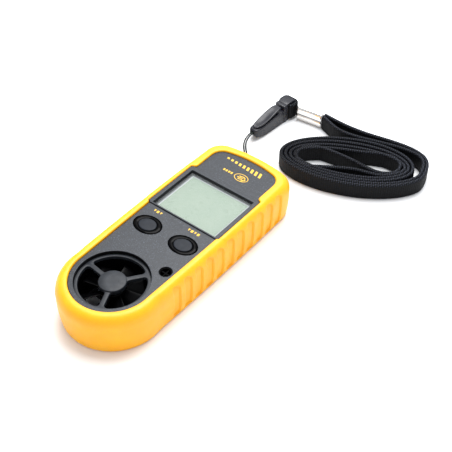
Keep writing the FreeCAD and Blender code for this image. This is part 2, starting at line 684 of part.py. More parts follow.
def battery_door():
    """Round bayonet door with three tabs and a coin slot."""
    middle = ("0", "cell_y")
    plate = cylinder("door_plate", (*middle, "back_z"), "door_r", "door_thick")
    spigot = cylinder("door_spigot", (*middle, "back_z"), "spigot_r", "tab_high - back_z")
    tabs = []
    for i in range(3):
        heading = FreeCAD.Rotation(UP, 120 * i + 30)
        corner = heading.multVec(V(0, -size("tab_wide") / 2, 0))
        tab = doc.addObject("Part::Box", f"door_tab_{i}")
        tab.Placement = FreeCAD.Placement(V(), heading)
        tabs.append(bind(tab, Length="tab_r - 0.3", Width="tab_wide", Height="tab_high - tab_low",
                         at=(f"{corner.x:.4f}", f"cell_y + {corner.y:.4f}", "tab_low")))
    slot = centred_box("door_slot", ("0", "cell_y", "0"), "coin_slot", "1.8", "back_z + 0.5")
    dish = cylinder("door_dish", (*middle, "back_z + door_thick + 0.4"), "spigot_r - 1.2", "3")
    return cut("door", fuse("door_body", plate, spigot, *tabs), slot, dish)


# ---------------------------------------------------------------- duct and rotor

def guard(name, ring_low, hub_low, hub_high, jewel_low):
    """Ring, three filleted arms and a hub that seats a jewel bearing."""
    axis = ("0", "rotor_y")
    ring = cut(name + "_ring", cylinder(name + "_rim", (*axis, ring_low), "duct_r - skin_gap", "guard_thick"),
               cylinder(name + "_bore", (*axis, ring_low), "guard_r", "guard_thick"))
    hub = cylinder(name + "_hub", (*axis, ring_low), "guard_hub_r", "guard_thick")
    arms = []
    for i in range(3):
        heading = FreeCAD.Rotation(UP, size("arm_angle") + 120 * i)
        corner = heading.multVec(V(0, -size("arm_wide") / 2, 0))
        arm = doc.addObject("Part::Box", f"{name}_arm_{i}")
        arm.Placement = FreeCAD.Placement(V(), heading)
        arms.append(bind(arm, Length="guard_r + arm_lap", Width="arm_wide", Height="guard_thick",
                         at=(f"{corner.x:.4f}", f"rotor_y + {corner.y:.4f}", ring_low)))
    frame = fuse(name + "_frame", ring, hub, *arms)

    def root(edge):
        return upright(edge) and abs(edge.Vertexes[0].Y - size("rotor_y")) > 0.01

    rooted = fillet(name + "_rooted", frame, size("arm_root_r"), root)
    boss = cylinder(name + "_boss", (*axis, hub_low), "guard_hub_r", f"{hub_high} - ({hub_low})")
    seat = cylinder(name + "_seat", (*axis, jewel_low), "jewel_r + fit_play", "jewel_thick")
    return cut(name, fuse(name + "_bossed", rooted, boss), seat)


def jewel(name, low, mouth_up):
    """Jewel bearing: a cup with a blind bore for the axle's end."""
    axis = ("0", "rotor_y")
    cup = cylinder(name + "_cup", (*axis, low), "jewel_r", "jewel_thick")
    bore_low = f"{low} + jewel_web" if mouth_up else low
    return cut(name, cup, cylinder(name + "_bore", (*axis, bore_low), "axle_r + axle_run",
                                   "jewel_thick - jewel_web"))


def ring_line(sketch, x, y, radius):
    """A dimensioned circle."""
    place = [worked_out(f) for f in (x, y, radius)]
    index = sketch.addGeometry(Part.Circle(V(*place[:2], 0), UP, place[2]), False)
    drive(sketch, "Radius", index, radius)
    drive(sketch, "DistanceX", -1, 1, index, 3, x)
    drive(sketch, "DistanceY", -1, 1, index, 3, y)


def polygon_line(sketch, points):
    """A closed polygon whose corners are all dimensioned."""
    corners = [V(*(worked_out(f) for f in point), 0) for point in points]
    count = len(corners)
    lines = [sketch.addGeometry(Part.LineSegment(corners[i], corners[(i + 1) % count]), False)
             for i in range(count)]
    for i in range(count):
        sketch.addConstraint(Sketcher.Constraint("Coincident", lines[i], 2, lines[(i + 1) % count], 1))
    for index, (x, y) in zip(lines, points):
        drive(sketch, "DistanceX", -1, 1, index, 1, x)
        drive(sketch, "DistanceY", -1, 1, index, 1, y)


def impeller():
    """Bladed rotor: pitched blades on a hub bored for its axle and magnet."""
    body = doc.addObject("PartDesign::Body", "impeller_body")
    bind(body, at=("0", "rotor_y", "0"))
    hub_line = sketch_on(body, "XY_Plane", "hub_line")
    ring_line(hub_line, "0", "0", "rotor_hub_r")
    bind(hub_line, **{"AttachmentOffset.Base.z": "rotor_low"})
    hub = body.newObject("PartDesign::Pad", "hub_pad")
    hub.Profile = hub_line
    bind(hub, Length="rotor_high - rotor_low")
    blade_line = sketch_on(body, "YZ_Plane", "blade_line")
    mid = "(rotor_low + rotor_high) / 2"
    rise = "(rotor_high - rotor_low) / 2 - 0.4"
    run = f"({rise}) / tan(blade_pitch * 1 deg)"
    thin = "blade_thick / 2 / sin(blade_pitch * 1 deg)"
    polygon_line(blade_line, [
        (f"-({run}) - {thin}", f"{mid} - ({rise})"), (f"-({run}) + {thin}", f"{mid} - ({rise})"),
        (f"{run} + {thin}", f"{mid} + {rise}"), (f"{run} - {thin}", f"{mid} + {rise}")])
    blade = body.newObject("PartDesign::Pad", "blade_pad")
    blade.Profile = blade_line
    bind(blade, Length="rotor_tip_r + 1")
    doc.recompute()
    blades = body.newObject("PartDesign::PolarPattern", "blades")
    blades.Originals = [blade]
    blades.Axis = (hub_line, ["N_Axis"])
    blades.Angle = 360
    bind(blades, Occurrences="blade_count")
    body.Tip = blades
    trim_line = sketch_on(body, "XY_Plane", "tip_line")
    ring_line(trim_line, "0", "0", "rotor_tip_r")
    ring_line(trim_line, "0", "0", "rotor_tip_r + 5")
    trim = body.newObject("PartDesign::Pocket", "tip_trim")
    trim.Profile = trim_line
    trim.Type = "ThroughAll"
    trim.Reversed = True
    body.Tip = trim
    bore_line = sketch_on(body, "XY_Plane", "bore_line")
    ring_line(bore_line, "0", "0", "axle_r + 0.01")
    bore = body.newObject("PartDesign::Pocket", "axle_bore")
    bore.Profile = bore_line
    bore.Type = "ThroughAll"
    bore.Reversed = True
    body.Tip = bore
    seat_line = sketch_on(body, "XY_Plane", "magnet_line")
    ring_line(seat_line, "0", "0", "magnet_r + 0.01")
    bind(seat_line, **{"AttachmentOffset.Base.z": "rotor_high"})
    seat = body.newObject("PartDesign::Pocket", "magnet_seat")
    seat.Profile = seat_line
    bind(seat, Length="magnet_thick")
    body.Tip = seat
    return body


def rotor_parts():
    """Duct, guards, bearings, rotor, axle and sensing magnet."""
    axis = ("0", "rotor_y")
    top = "(shoulder_z - guard_thick)"
    tube = cut("duct", cylinder("duct_out", (*axis, "back_z + guard_thick"), "duct_r - skin_gap",
                                f"{top} - back_z - guard_thick"),
               cylinder("duct_in", (*axis, "back_z"), "guard_r", "body_high"))
    node("duct_sleeve", tube)
    front_jewel = "guard_hub_z - jewel_cover - jewel_thick"
    rear_jewel = "back_z + jewel_cover"
    node("front_guard", guard("guard_front", top, "shoulder_z - guard_thick", "guard_hub_z", front_jewel))
    node("rear_guard", guard("guard_rear", "back_z", "back_z", "(back_z + 2)", rear_jewel))
    node("front_bearing", jewel("jewel_front", front_jewel, False))
    node("rear_bearing", jewel("jewel_rear", rear_jewel, True))
    node("impeller", impeller())
    foot = f"{rear_jewel} + jewel_web + easy_play"
    node("impeller_axle", cylinder("axle", (*axis, foot), "axle_r",
                                   f"{front_jewel} + jewel_thick - jewel_web - easy_play - ({foot})"))
    disc = cylinder("magnet_disc", (*axis, "rotor_high - magnet_thick"), "magnet_r", "magnet_thick")
    hole = cylinder("magnet_hole", (*axis, "rotor_low"), "axle_r + 0.01", "rotor_high")
    node("sensing_magnet", cut("magnet", disc, hole))


# ---------------------------------------------------------------- keys

def bevel(name, x):
    """The sloping shoulder of a key, from its oval rim up to its cap."""
    rim = doc.addObject("Part::Ellipse", name + "_rim")
    bind(rim, MajorRadius="well_rx - key_gap", MinorRadius="well_ry - key_gap", at=(x, "key_y", "key_rim_z"))
    crown = doc.addObject("Part::Ellipse", name + "_crown")
    bind(crown, MajorRadius="cap_rx", MinorRadius="cap_ry", at=(x, "key_y", "cap_top"))
    loft = doc.addObject("Part::Loft", name)
    loft.Sections = [rim, crown]
    loft.Solid = True
    loft.Ruled = True
    return loft


def key_parts(label, x):
    """One key with its cap and the tact switch that it presses."""
    skirt = oval(f"{label}_skirt", (x, "key_y", "key_low"), "well_rx - key_gap", "well_ry - key_gap",
                 "key_rim_z - key_low")
    flange = oval(f"{label}_flange", (x, "key_y", "key_low - key_flange"), "flange_rx", "flange_ry",
                  "key_flange")
    stem = cylinder(f"{label}_stem", (x, "key_y", "key_stem_z"), "key_stem_r", "key_low - key_stem_z")
    seat = oval(f"{label}_seat", (x, "key_y", "cap_top - cap_thick"), "cap_rx", "cap_ry", "cap_thick + past")
    body = fuse(f"{label}_body", skirt, bevel(f"{label}_bevel", x), flange, stem)
    node(f"{label}_button", cut(f"{label}_key", body, seat))
    node(f"{label}_button_cap", oval(f"{label}_cap", (x, "key_y", "cap_top - cap_thick"), "cap_rx - fit_play",
                                     "cap_ry - fit_play", "cap_thick"))
    top = "(board_z + board_thick)"
    block = centred_box(f"{label}_block", (x, "key_y", top), "switch_side", "switch_side", "switch_high")
    hole = cylinder(f"{label}_hole", (x, "key_y", "plunger_low - 0.5"), "plunger_r + easy_play",
                    "switch_high")
    node(f"{label}_switch", cut(f"{label}_tact", block, hole))
    node(f"{label}_switch_plunger", cylinder(f"{label}_plunger", (x, "key_y", "plunger_low"), "plunger_r",
                                             "key_stem_z - plunger_low"))


# ---------------------------------------------------------------- display and electronics

def display_parts():
    """Window, display glass, light guide, its holder and the elastomeric connector."""
    middle = "(sight_low_y + sight_top_y) / 2"
    long = "sight_top_y - sight_low_y"
    half = "sight_half - sight_slope + window_lap"
    node("display_window", centred_box("window", ("0", middle, "window_top - window_thick"), f"2 * ({half})",
                                       f"{long} + 2 * (window_lap - sight_slope)", "window_thick"))
    glass_low = "(window_top - window_thick - skin_gap - lcd_thick)"
    node("lcd_glass", centred_box("lcd", ("0", f"{middle} - glass_drop", glass_low),
                                  f"2 * ({half} - glass_trim)",
                                  f"{long} - 2 * glass_trim", "lcd_thick"))
    guide_y = f"{middle} + guide_lift"
    node("light_guide", centred_box("guide", ("0", guide_y, f"({glass_low} - light_thick)"), "guide_wide",
                                    f"{long} - guide_trim", "light_thick"))
    board_top = "(board_z + board_thick)"
    rise = f"{glass_low} - {board_top}"
    outer = centred_box("holder_outer", ("0", f"{middle} - glass_drop", board_top), "holder_wide",
                        f"{long} + holder_grow", rise)
    inner = centred_box("holder_inner", ("0", guide_y, board_top), "guide_wide + holder_run",
                        f"{long} - guide_trim + holder_run", "body_high")
    zebra_y = "sight_low_y + zebra_in"
    trench = centred_box("holder_trench", ("0", zebra_y, board_top), "zebra_wide + 2 * holder_run",
                         "zebra_thick + 1.5 * holder_run", "body_high")
    node("lcd_holder", cut("holder", outer, inner, trench))
    node("zebra_connector", centred_box("zebra", ("0", zebra_y, board_top), "zebra_wide", "zebra_thick",
                                        rise))


def circuit_board():
    """Board outline with its duct cut-out, boss clearances and screw holes."""
    plate = box("board_plate", ("-board_half", "board_low_y", "board_z"), "2 * board_half",
                "board_top_y - board_low_y", "board_thick")
    duct = cylinder("board_duct", ("0", "rotor_y", "0"), "duct_r + 0.9", "body_high")
    gaps = columns("board_gap", BOSSES, "0", "boss_r + 0.3", "body_high")
    holes = columns("board_hole", POSTS, "0", "screw_r + 0.2", "body_high")
    return cut("board", plate, duct, *gaps, *holes)


def compound(name, parts):
    """Separate solids that share a node."""
    group = doc.addObject("Part::Compound", name)
    group.Links = parts
    return group


# Places of the chip resistors on the board.
RESISTORS = [(-6, 14), (-9.5, 12.2), (-4, 10.5), (7, 14), (6.5, 11.4), (-1.5, 8.6)]


def board_parts():
    """What is soldered to the board."""
    node("circuit_board", circuit_board())
    top = "(board_z + board_thick)"
    blob = doc.addObject("Part::Sphere", "chip_blob")
    bind(blob, Radius="chip_dome_r", at=("0", "0", "board_z - chip_high + chip_dome_r"))
    slab = centred_box("chip_slab", ("0", "0", "board_z - chip_high"), "chip_side", "chip_side", "chip_high")
    node("controller_chip", common("chip", blob, slab))
    crystal = doc.addObject("Part::Cylinder", "crystal")
    crystal.Placement = FreeCAD.Placement(V(), FreeCAD.Rotation(V(1, 0, 0), 90))
    node("clock_crystal", bind(crystal, Radius="crystal_r", Height="crystal_long",
                               at=("crystal_x", "crystal_y", "board_z - crystal_r")))
    node("hall_sensor", centred_box("hall", ("hall_x", "hall_y", top), "hall_wide", "hall_long", "hall_high"))
    node("chip_resistors", compound("resistors", [
        centred_box(f"resistor_{i}", (str(x), str(y), top), "resistor_long", "resistor_wide", "resistor_high")
        for i, (x, y) in enumerate(RESISTORS)]))


def sensor_parts():
    """Thermistor on its leads, under a slotted shroud in the port."""
    place = ("sense_x", "sense_y")
    bead = doc.addObject("Part::Sphere", "bead")
    bind(bead, Radius="bead_r", at=(*place, "bead_z"))
    top = "(board_z + board_thick)"
    leads = [cylinder(f"lead_{i}", (f"sense_x + {side} * lead_half", "sense_y", top), "lead_r",
                      f"bead_z - {top}")
             for i, side in enumerate((-1, 1))]
    node("air_thermistor", fuse("thermistor", bead, *leads))
    tube = cylinder("shroud_out", (*place, "shroud_low"), "sense_r - skin_gap", "shroud_high - shroud_low")
    hole = cylinder("shroud_in", (*place, "shroud_low - 1"), "sense_r - skin_gap - shroud_wall", "body_high")
    span = "2 * sense_r - shroud_wall"
    bars = [centred_box(f"shroud_bar_{i}", (*place, "shroud_bar_z"), dx, dy, "shroud_bar")
            for i, (dx, dy) in enumerate(((span, "shroud_bar"), ("shroud_bar", span)))]
    node("sensor_shroud", fuse("shroud", cut("shroud_tube", tube, hole), *bars))


def battery_parts():
    """Coin cell, its two contacts and the door."""
    can = cylinder("cell_can", ("0", "cell_y", "cell_low"), "cell_r", "cell_thick - can_step")
    cap = cylinder("cell_cap", ("0", "cell_y", "cell_low"), "cell_r - cap_step", "cell_thick")
    node("coin_cell", fuse("cell", can, cap))
    node("battery_door", battery_door())
    strip = doc.addObject("PartDesign::Body", "negative_body")
    line = sketch_on(strip, "YZ_Plane", "negative_line")
    cap_z = "(cell_low + cell_thick + fit_play)"
    knee = "(cell_y + leaf_knee)"
    tip = "cell_y - leaf_tip"
    polygon_line(line, [
        (f"{knee} - leaf_foot", "board_z"), (f"{knee} - leaf_foot", "board_z - leaf_thick"),
        (f"{knee} - leaf_thick", "board_z - leaf_thick"), (f"{knee} - leaf_thick",
                                                           f"{cap_z} + leaf_rise + 0.2"),
        (tip, f"{cap_z} + leaf_thick"), (tip, cap_z), (knee, f"{cap_z} + leaf_rise"), (knee, "board_z")])
    pad = strip.newObject("PartDesign::Pad", "negative_pad")
    pad.Profile = line
    pad.Midplane = True
    bind(pad, Length="leaf_wide")
    node("negative_contact", strip)
    node("positive_contact", centred_box("positive", ("cell_r + 0.2", "cell_y", "cell_low + strip_in"),
                                         "strip_thick",
                                         "strip_wide", "board_z - cell_low - strip_in"))


def screw(name, x, y, seat, tip):
    """Flat-headed screw, head down, with a cross recess."""
    head = cylinder(name + "_head", (x, y, f"{seat} - screw_head"), "screw_head_r", "screw_head")
    shank = cylinder(name + "_shank", (x, y, f"{seat} - past"), "screw_r", f"{tip} - ({seat}) + past")
    cross = [centred_box(f"{name}_recess_{i}", (x, y, f"{seat} - screw_head - past"), dx, dy,
                         "recess_deep + past")
             for i, (dx, dy) in enumerate((("recess_long", "recess_wide"), ("recess_wide", "recess_long")))]
    return cut(name, fuse(name + "_blank", head, shank), *cross)


def fastenings():
    """Case screws from the back, board screws from inside."""
    node("case_screws", compound("case_screw_group", [
        screw(f"case_screw_{i}", x, y, "head_seat", "case_screw_top") for i, (x, y) in enumerate(BOSSES)]))
    node("board_screws", compound("board_screw_group", [
        screw(f"board_screw_{i}", x, y, "board_z", "case_screw_top") for i, (x, y) in enumerate(POSTS)]))


# ---------------------------------------------------------------- lanyard

# The string goes from the quick release round the bar of the lanyard eye and back.
STRING_ROUTE = [
    (21.55, -79.5, 4.2), (21.43, -75.35, 4.4), (20.4, -71.2, 4.75), (18.22, -67.2, 5.1), (14.7, -63.3, 5.4),
    (11.0, -59.4, 5.7), (7.6, -54.0, 6.0), (7.55, -48.05, 6.0), (4.45, -48.05, 6.0), (4.5, -54.2, 6.0),
    (9.6, -60.0, 5.7), (14.1, -63.9, 5.4), (17.58, -67.8, 5.1), (19.6, -71.6, 4.75), (20.57, -75.5, 4.4),
    (20.75, -79.6, 4.2),
]
# Both plies of webbing leave the ferrule and run behind the coil to its far end.
LEAD_ROUTE = [(1.3, -104.3), (-8.0, -103.3), (-20.5, -104.3), (-33.0, -107.3), (-43.5, -108.4), (-51.5,
                                                                                                 -105.3)]


def rounded_path(points, label):
    """Straight runs joined by tangent arcs, each as large as its two runs allow."""
    corners = [V(*p) for p in points]
    edges = []
    radii = []
    start = corners[0]
    for before, corner, after in zip(corners, corners[1:], corners[2:]):
        into = (corner - before).normalize()
        out = (after - corner).normalize()
        half_turn = into.getAngle(out) / 2
        shorter = min((corner - before).Length, (after - corner).Length)
        trim = 0.45 * shorter
        radii.append(trim / math.tan(half_turn))
        bisector = (out - into).normalize()
        middle = corner + bisector * (radii[-1] * (1 / math.cos(half_turn) - 1))
        first = corner - into * trim
        last = corner + out * trim
        edges.append(Part.LineSegment(start, first).toShape())
        edges.append(Part.Arc(first, middle, last).toShape())
        start = last
    edges.append(Part.LineSegment(start, corners[-1]).toShape())
    wire = Part.Wire(edges)
    print(f"{label}: length {wire.Length:.1f}, radii {' '.join(f'{r:.1f}' for r in radii)}")
    return wire


def swept(name, path, profile):
    """A section carried along a path with its upright kept upright."""
    sweep = Part.BRepOffsetAPI.MakePipeShell(path)
    sweep.setBiNormalMode(UP)
    sweep.setTransitionMode(0)
    sweep.add(profile)
    sweep.build()
    sweep.makeSolid()
    piece = doc.addObject("Part::Feature", name)
    piece.Shape = sweep.shape()
    area = Part.Face(profile).Area
    print(f"{name}: volume {piece.Shape.Volume:.1f}, section by length {area * path.Length:.1f}")
    return piece


def string_loop():
    """Thin string from the quick release round the eye's bar and back."""
    path = rounded_path(STRING_ROUTE, "string")
    first, second = (V(*p) for p in STRING_ROUTE[:2])
    ring = Part.Wire(Part.Circle(first, second - first, size("string_d") / 2).toShape())
    return swept("string", path, ring)


def strap_lead():
    """The two plies of webbing between the ferrule and the coil, standing on edge."""
    path = rounded_path([(x, y, 0) for x, y in LEAD_ROUTE], "strap lead")
    first, second = (V(*p, 0) for p in LEAD_ROUTE[:2])
    side = UP.cross((second - first).normalize()) * (size("strap_pair") / 2)
    rise = UP * size("strap_wide")
    band = Part.makePolygon([first - side, first + side, first + side + rise, first - side + rise,
                             first - side])
    return swept("lead", path, band)


def strap_coil():
    """Outer shape of the coiled strap."""
    line = doc.addObject("Part::Ellipse", "coil_line")
    line.Placement = FreeCAD.Placement(V(), FreeCAD.Rotation(UP, size("coil_turn")))
    bind(line, MajorRadius="coil_half_long", MinorRadius="coil_half_wide", at=("coil_x", "coil_y", "0"))
    return extrude("coil", line, "strap_wide")


def set_down(piece, family):
    """Turn a piece built along X to its heading and set it in its place."""
    piece.Placement = FreeCAD.Placement(V(), FreeCAD.Rotation(UP, size(f"{family}_turn")))
    return bind(piece, at=(f"{family}_x", f"{family}_y", "0"))


def plate_body(name, role, points, length):
    """A pad of a polygon, as thick on one side of its plane as on the other."""
    body = doc.addObject("PartDesign::Body", name)
    line = sketch_on(body, role, name + "_line")
    polygon_line(line, points)
    pad = body.newObject("PartDesign::Pad", name + "_pad")
    pad.Profile = line
    pad.Midplane = True
    bind(pad, Length=length)
    return body


# Outlines in the clip's own axes, from the string's end: (along, up) and (along, across).
RECEIVER_SIDE = [("0", "3.0"), ("0.9", "1.7"), ("3.6", "0.2"), ("clip_long", "0"), ("clip_long", "clip_high"),
                 ("13", "clip_high - 0.2"), ("4.5", "5.6"), ("1.0", "5.6"), ("0", "4.9")]
RECEIVER_PLAN = [("0", "-clip_tip_half"), ("2.6", "-clip_half + 0.25"), ("6", "-clip_half"),
                 ("clip_long", "-clip_half"), ("clip_long", "clip_half"), ("6", "clip_half"),
                 ("2.6", "clip_half - 0.25"), ("0", "clip_tip_half")]
LEVER_SIDE = [("1.3", "5.8"), ("5.0", "5.95"), ("10.0", "7.6"), ("17.4", "8.3"), ("17.8", "9.0"),
              ("16.6", "9.2"), ("12.6", "8.7"), ("8.8", "7.5"), ("5.0", "6.9"), ("1.8", "6.6")]


def clip_parts():
    """Quick release: string half with its thumb lever, and strap half with its tongue."""
    mouth = "clip_long"
    side_view = plate_body("receiver_side", "XZ_Plane", RECEIVER_SIDE, "2 * clip_half")
    plan = plate_body("receiver_plan", "XY_Plane", RECEIVER_PLAN, "3 * clip_high")
    string_hole = box("string_hole", ("-1", "-hole_wide / 2", "hole_low"), "hole_deep + 1", "hole_wide",
                      "hole_high")
    cavity = box("tongue_cavity", (f"{mouth} - tongue_long - 0.4", "-clip_half + cavity_wall", "cavity_low"),
                 "tongue_long + 1", "2 * (clip_half - cavity_wall)", "cavity_high")
    blank = common("receiver_blank", side_view, plan)
    node("clip_receiver", set_down(cut("receiver", blank, string_hole, cavity), "clip"))
    lever = plate_body("lever", "XZ_Plane", LEVER_SIDE, "2 * (clip_half - lever_trim)")
    node("clip_lever", set_down(lever, "clip"))
    step = f"({mouth} + easy_play)"
    side_gap = "(cavity_wall + tongue_gap)"
    tongue = box("tongue", (f"{mouth} - tongue_long", f"-clip_half + {side_gap}", "cavity_low + tongue_gap"),
                 "tongue_long + 1", f"2 * (clip_half - {side_gap})", "cavity_high - 2 * tongue_gap")
    collar = box("collar", (step, "-clip_half", "0"), "collar_long", "2 * clip_half", "collar_high")
    block = box("strap_block", (f"{step} + collar_long", "-block_half", "0"), "block_long", "2 * block_half",
                "block_high")

    def free_edge(edge):
        return edge.BoundBox.XMin > size("clip_long") + size("collar_long") + 0.5

    block = fillet("strap_block_soft", block, size("block_soft"), free_edge)
    slot = box("strap_slot", (f"{step} + collar_long + slot_start", "-block_half - 1", "slot_low"),
               "slot_long", "2 * block_half + 2", "strap_wide + 2 * slot_run")
    node("clip_socket", set_down(cut("socket", fuse("socket_blank", tongue, collar, block), slot), "clip"))
    ring_start = f"({step} + collar_long + slot_start + (slot_long - ply) / 2)"
    ring_long = "(block_long - slot_start - slot_long + 2 * ply + ring_run)"
    ring_half = "(block_half + webbing_run + ply)"
    low = "slot_low + slot_run"
    ring = box("webbing_ring", (ring_start, f"-{ring_half}", low), ring_long, f"2 * {ring_half}",
               "strap_wide")
    ring = fillet("webbing_ring_soft", ring, size("ring_soft"), upright)
    bar = box("webbing_bar", (f"{ring_start} + ply", f"-{ring_half} + ply", "0"), f"{ring_long} - 2 * ply",
              f"2 * ({ring_half} - ply)", "20")
    neck = box("webbing_neck", (f"{ring_start} + ply", f"-{ring_half} - neck_out", low), "neck_long",
               "neck_out + neck_lap", "strap_wide - neck_trim")
    node("webbing_loop", set_down(cut("webbing", fuse("webbing_blank", ring, neck), bar), "clip"))


def ferrule():
    """Crimped metal sleeve: two tubes, one above the other, joined by a waist."""
    def lobes(label, radius, reach):
        tubes = []
        for place, z in (("low", "ferrule_wide / 2"), ("high", "ferrule_high - ferrule_wide / 2")):
            tube = doc.addObject("Part::Cylinder", f"{label}_{place}")
            tube.Placement = FreeCAD.Placement(V(), FreeCAD.Rotation(V(0, 1, 0), 90))
            tubes.append(bind(tube, Radius=radius, Height=f"ferrule_long + 2 * {reach}", at=(f"-{reach}",
                                                                                             "0", z)))
        return tubes

    outer = fuse("ferrule_outer", *lobes("ferrule_tube", "ferrule_wide / 2", "0"))
    waist = centred_box("ferrule_waist", ("ferrule_long / 2", "0", "ferrule_wide / 2"), "ferrule_long + 2",
                        "1",
                        "ferrule_high - ferrule_wide")
    inner = fuse("ferrule_inner", *lobes("ferrule_hole", "ferrule_wide / 2 - ferrule_wall", "1"), waist)
    return set_down(cut("ferrule_sleeve", outer, inner), "ferrule")


def lanyard():
    """Everything from the eye's string to the coiled strap."""
    node("string_loop", string_loop())
    clip_parts()
    node("ferrule", ferrule())
    node("strap_lead", strap_lead())
    node("strap_coil", strap_coil())


# ---------------------------------------------------------------- write

node("rubber_boot", rubber_boot())
node("front_cover", front_cover())
node("rear_cover", rear_cover())
rotor_parts()
key_parts("set", "key_x")
key_parts("mode", "-key_x")
display_parts()
board_parts()
sensor_parts()
battery_parts()
fastenings()
lanyard()
doc.recompute()

for obj in doc.Objects:
    if {"Invalid", "Error"} & set(obj.State):
        raise SystemExit(f"{obj.Name} failed: {obj.State}")
os.makedirs("parts", exist_ok=True)
for name, obj in NODES:
    shape = obj.Shape
    if shape.isNull() or not shape.isValid():
        raise SystemExit(f"{name} has no valid shape")
    shape.exportStep(f"parts/{name}.step")
    reach = shape.optimalBoundingBox(False)
    print(f"{name:20s} solids {len(shape.Solids)} volume {shape.Volume:8.1f}"
          f"  x {reach.XMin:6.2f} {reach.XMax:6.2f}  y {reach.YMin:7.2f} {reach.YMax:6.2f}"
          f"  z {reach.ZMin:5.2f} {reach.ZMax:5.2f}")
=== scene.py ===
"""Detailed looks of a pocket vane anemometer and its coiled wrist strap, round their plain parts.

Lengths are written in millimetres and become metres when a mesh, a curve or a light is made.
Z is up and the instrument lies on its back, its rotor towards +Y.
"""
import json
from math import asin, atan2, copysign, cos, dist, exp, hypot, pi, radians, sin, sqrt

import bmesh
import bpy
from mathutils import Matrix, Vector


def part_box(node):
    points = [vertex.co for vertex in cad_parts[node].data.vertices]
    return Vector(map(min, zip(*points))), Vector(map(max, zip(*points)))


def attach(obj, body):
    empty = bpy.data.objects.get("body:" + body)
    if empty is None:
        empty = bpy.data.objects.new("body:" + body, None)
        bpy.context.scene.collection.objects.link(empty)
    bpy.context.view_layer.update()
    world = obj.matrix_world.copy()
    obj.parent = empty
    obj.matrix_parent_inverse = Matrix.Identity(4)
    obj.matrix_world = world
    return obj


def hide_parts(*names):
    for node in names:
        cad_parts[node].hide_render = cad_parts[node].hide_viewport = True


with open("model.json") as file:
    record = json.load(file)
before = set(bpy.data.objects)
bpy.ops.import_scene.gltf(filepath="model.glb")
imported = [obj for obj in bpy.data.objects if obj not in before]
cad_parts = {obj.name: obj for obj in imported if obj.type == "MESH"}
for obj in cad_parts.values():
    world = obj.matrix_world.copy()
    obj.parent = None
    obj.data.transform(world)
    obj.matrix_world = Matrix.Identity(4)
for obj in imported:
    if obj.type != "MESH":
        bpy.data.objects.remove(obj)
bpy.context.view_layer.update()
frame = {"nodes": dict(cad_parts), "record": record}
NODES = frame["nodes"]
MM = 0.001
UP = Vector((0, 0, 1))


def placed(name, data):
    """A new object in the scene."""
    piece = bpy.data.objects.new(name, data)
    bpy.context.scene.collection.objects.link(piece)
    return piece


# ---- camera

CAMERA_TARGET = (-4.01, -27.21, 0)
CAMERA_AZIMUTH = 218.35
CAMERA_ELEVATION = 44.26
CAMERA_ROLL = 0.26
CAMERA_DISTANCE = 383.8
CAMERA_LENS = 75.74
CAMERA_SENSOR = 36
CAMERA_NEAR = 10


def camera():
    """The camera, on a sphere round its target."""
    data = bpy.data.cameras.new("camera")
    data.lens = CAMERA_LENS
    data.sensor_width = CAMERA_SENSOR
    data.clip_start = CAMERA_NEAR * MM
    eye = placed("camera", data)
    azimuth, elevation = radians(CAMERA_AZIMUTH), radians(CAMERA_ELEVATION)
    back = Vector((sin(azimuth) * cos(elevation), -cos(azimuth) * cos(elevation), sin(elevation)))
    right = UP.cross(back).normalized()
    upright = Matrix((right, back.cross(right), back)).transposed()
    turn = upright @ Matrix.Rotation(radians(CAMERA_ROLL), 3, "Z")
    place = (Vector(CAMERA_TARGET) + back * CAMERA_DISTANCE) * MM
    eye.matrix_world = Matrix.Translation(place) @ turn.to_4x4()
    bpy.context.scene.camera = eye


# ---- mesh helpers

# Points closer together than this, in metres, are one point.
SEAM = 1e-6


def solid(name, points, faces):
    """A mesh object from points in millimetres."""
    mesh = bpy.data.meshes.new(name)
    mesh.from_pydata([Vector(p) * MM for p in points], [], faces)
    mesh.polygons.foreach_set("use_smooth", [True] * len(mesh.polygons))
    mesh.update()
    return placed(name, mesh)


def loft(name, rings, closed=False):
    """A skin over rings of equally many points: a tube with flat ends, or a closed ring of rings."""
    count = len(rings[0])
    points = [p for ring in rings for p in ring]
    spans = len(rings) if closed else len(rings) - 1
    faces = []
    for i in range(spans):
        j = (i + 1) % len(rings)
        for k in range(count):
            m = (k + 1) % count
            faces.append((i * count + k, i * count + m, j * count + m, j * count + k))
    if not closed:
        faces.append(tuple(reversed(range(count))))
        faces.append(tuple(range(len(points) - count, len(points))))
    piece = solid(name, points, faces)
    turn_outwards(piece.data)
    return piece


def turn_outwards(mesh, weld=False):
    """Turn every face outwards, after closing the mesh's seams if it has any."""
    work = bmesh.new()
    work.from_mesh(mesh)
    if weld:
        bmesh.ops.remove_doubles(work, verts=work.verts, dist=SEAM)
    bmesh.ops.recalc_face_normals(work, faces=work.faces)
    work.to_mesh(mesh)
    work.free()


def joined(name, *pieces):
    """Several mesh objects as one piece."""
    with bpy.context.temp_override(active_object=pieces[0], selected_editable_objects=list(pieces)):
        bpy.ops.object.join()
    pieces[0].name = name
    return pieces[0]


def applied(piece):
    """The same piece with its modifiers worked into its mesh."""
    shape = piece.evaluated_get(bpy.context.evaluated_depsgraph_get())
    baked = bpy.data.meshes.new_from_object(shape)
    piece.modifiers.clear()
    piece.data = baked
    return piece


def carved(piece, *cutters):
    """Take closed shapes out of a piece."""
    for cutter in cutters:
        tool = piece.modifiers.new("carve", "BOOLEAN")
        tool.operation = "DIFFERENCE"
        tool.solver = "EXACT"
        tool.object = cutter
        applied(piece)
        bpy.data.objects.remove(cutter)
    return piece


def sharpened(piece, degrees):
    """Shade smooth, but keep creases over an angle."""
    piece.data.set_sharp_from_angle(angle=radians(degrees))
    return piece


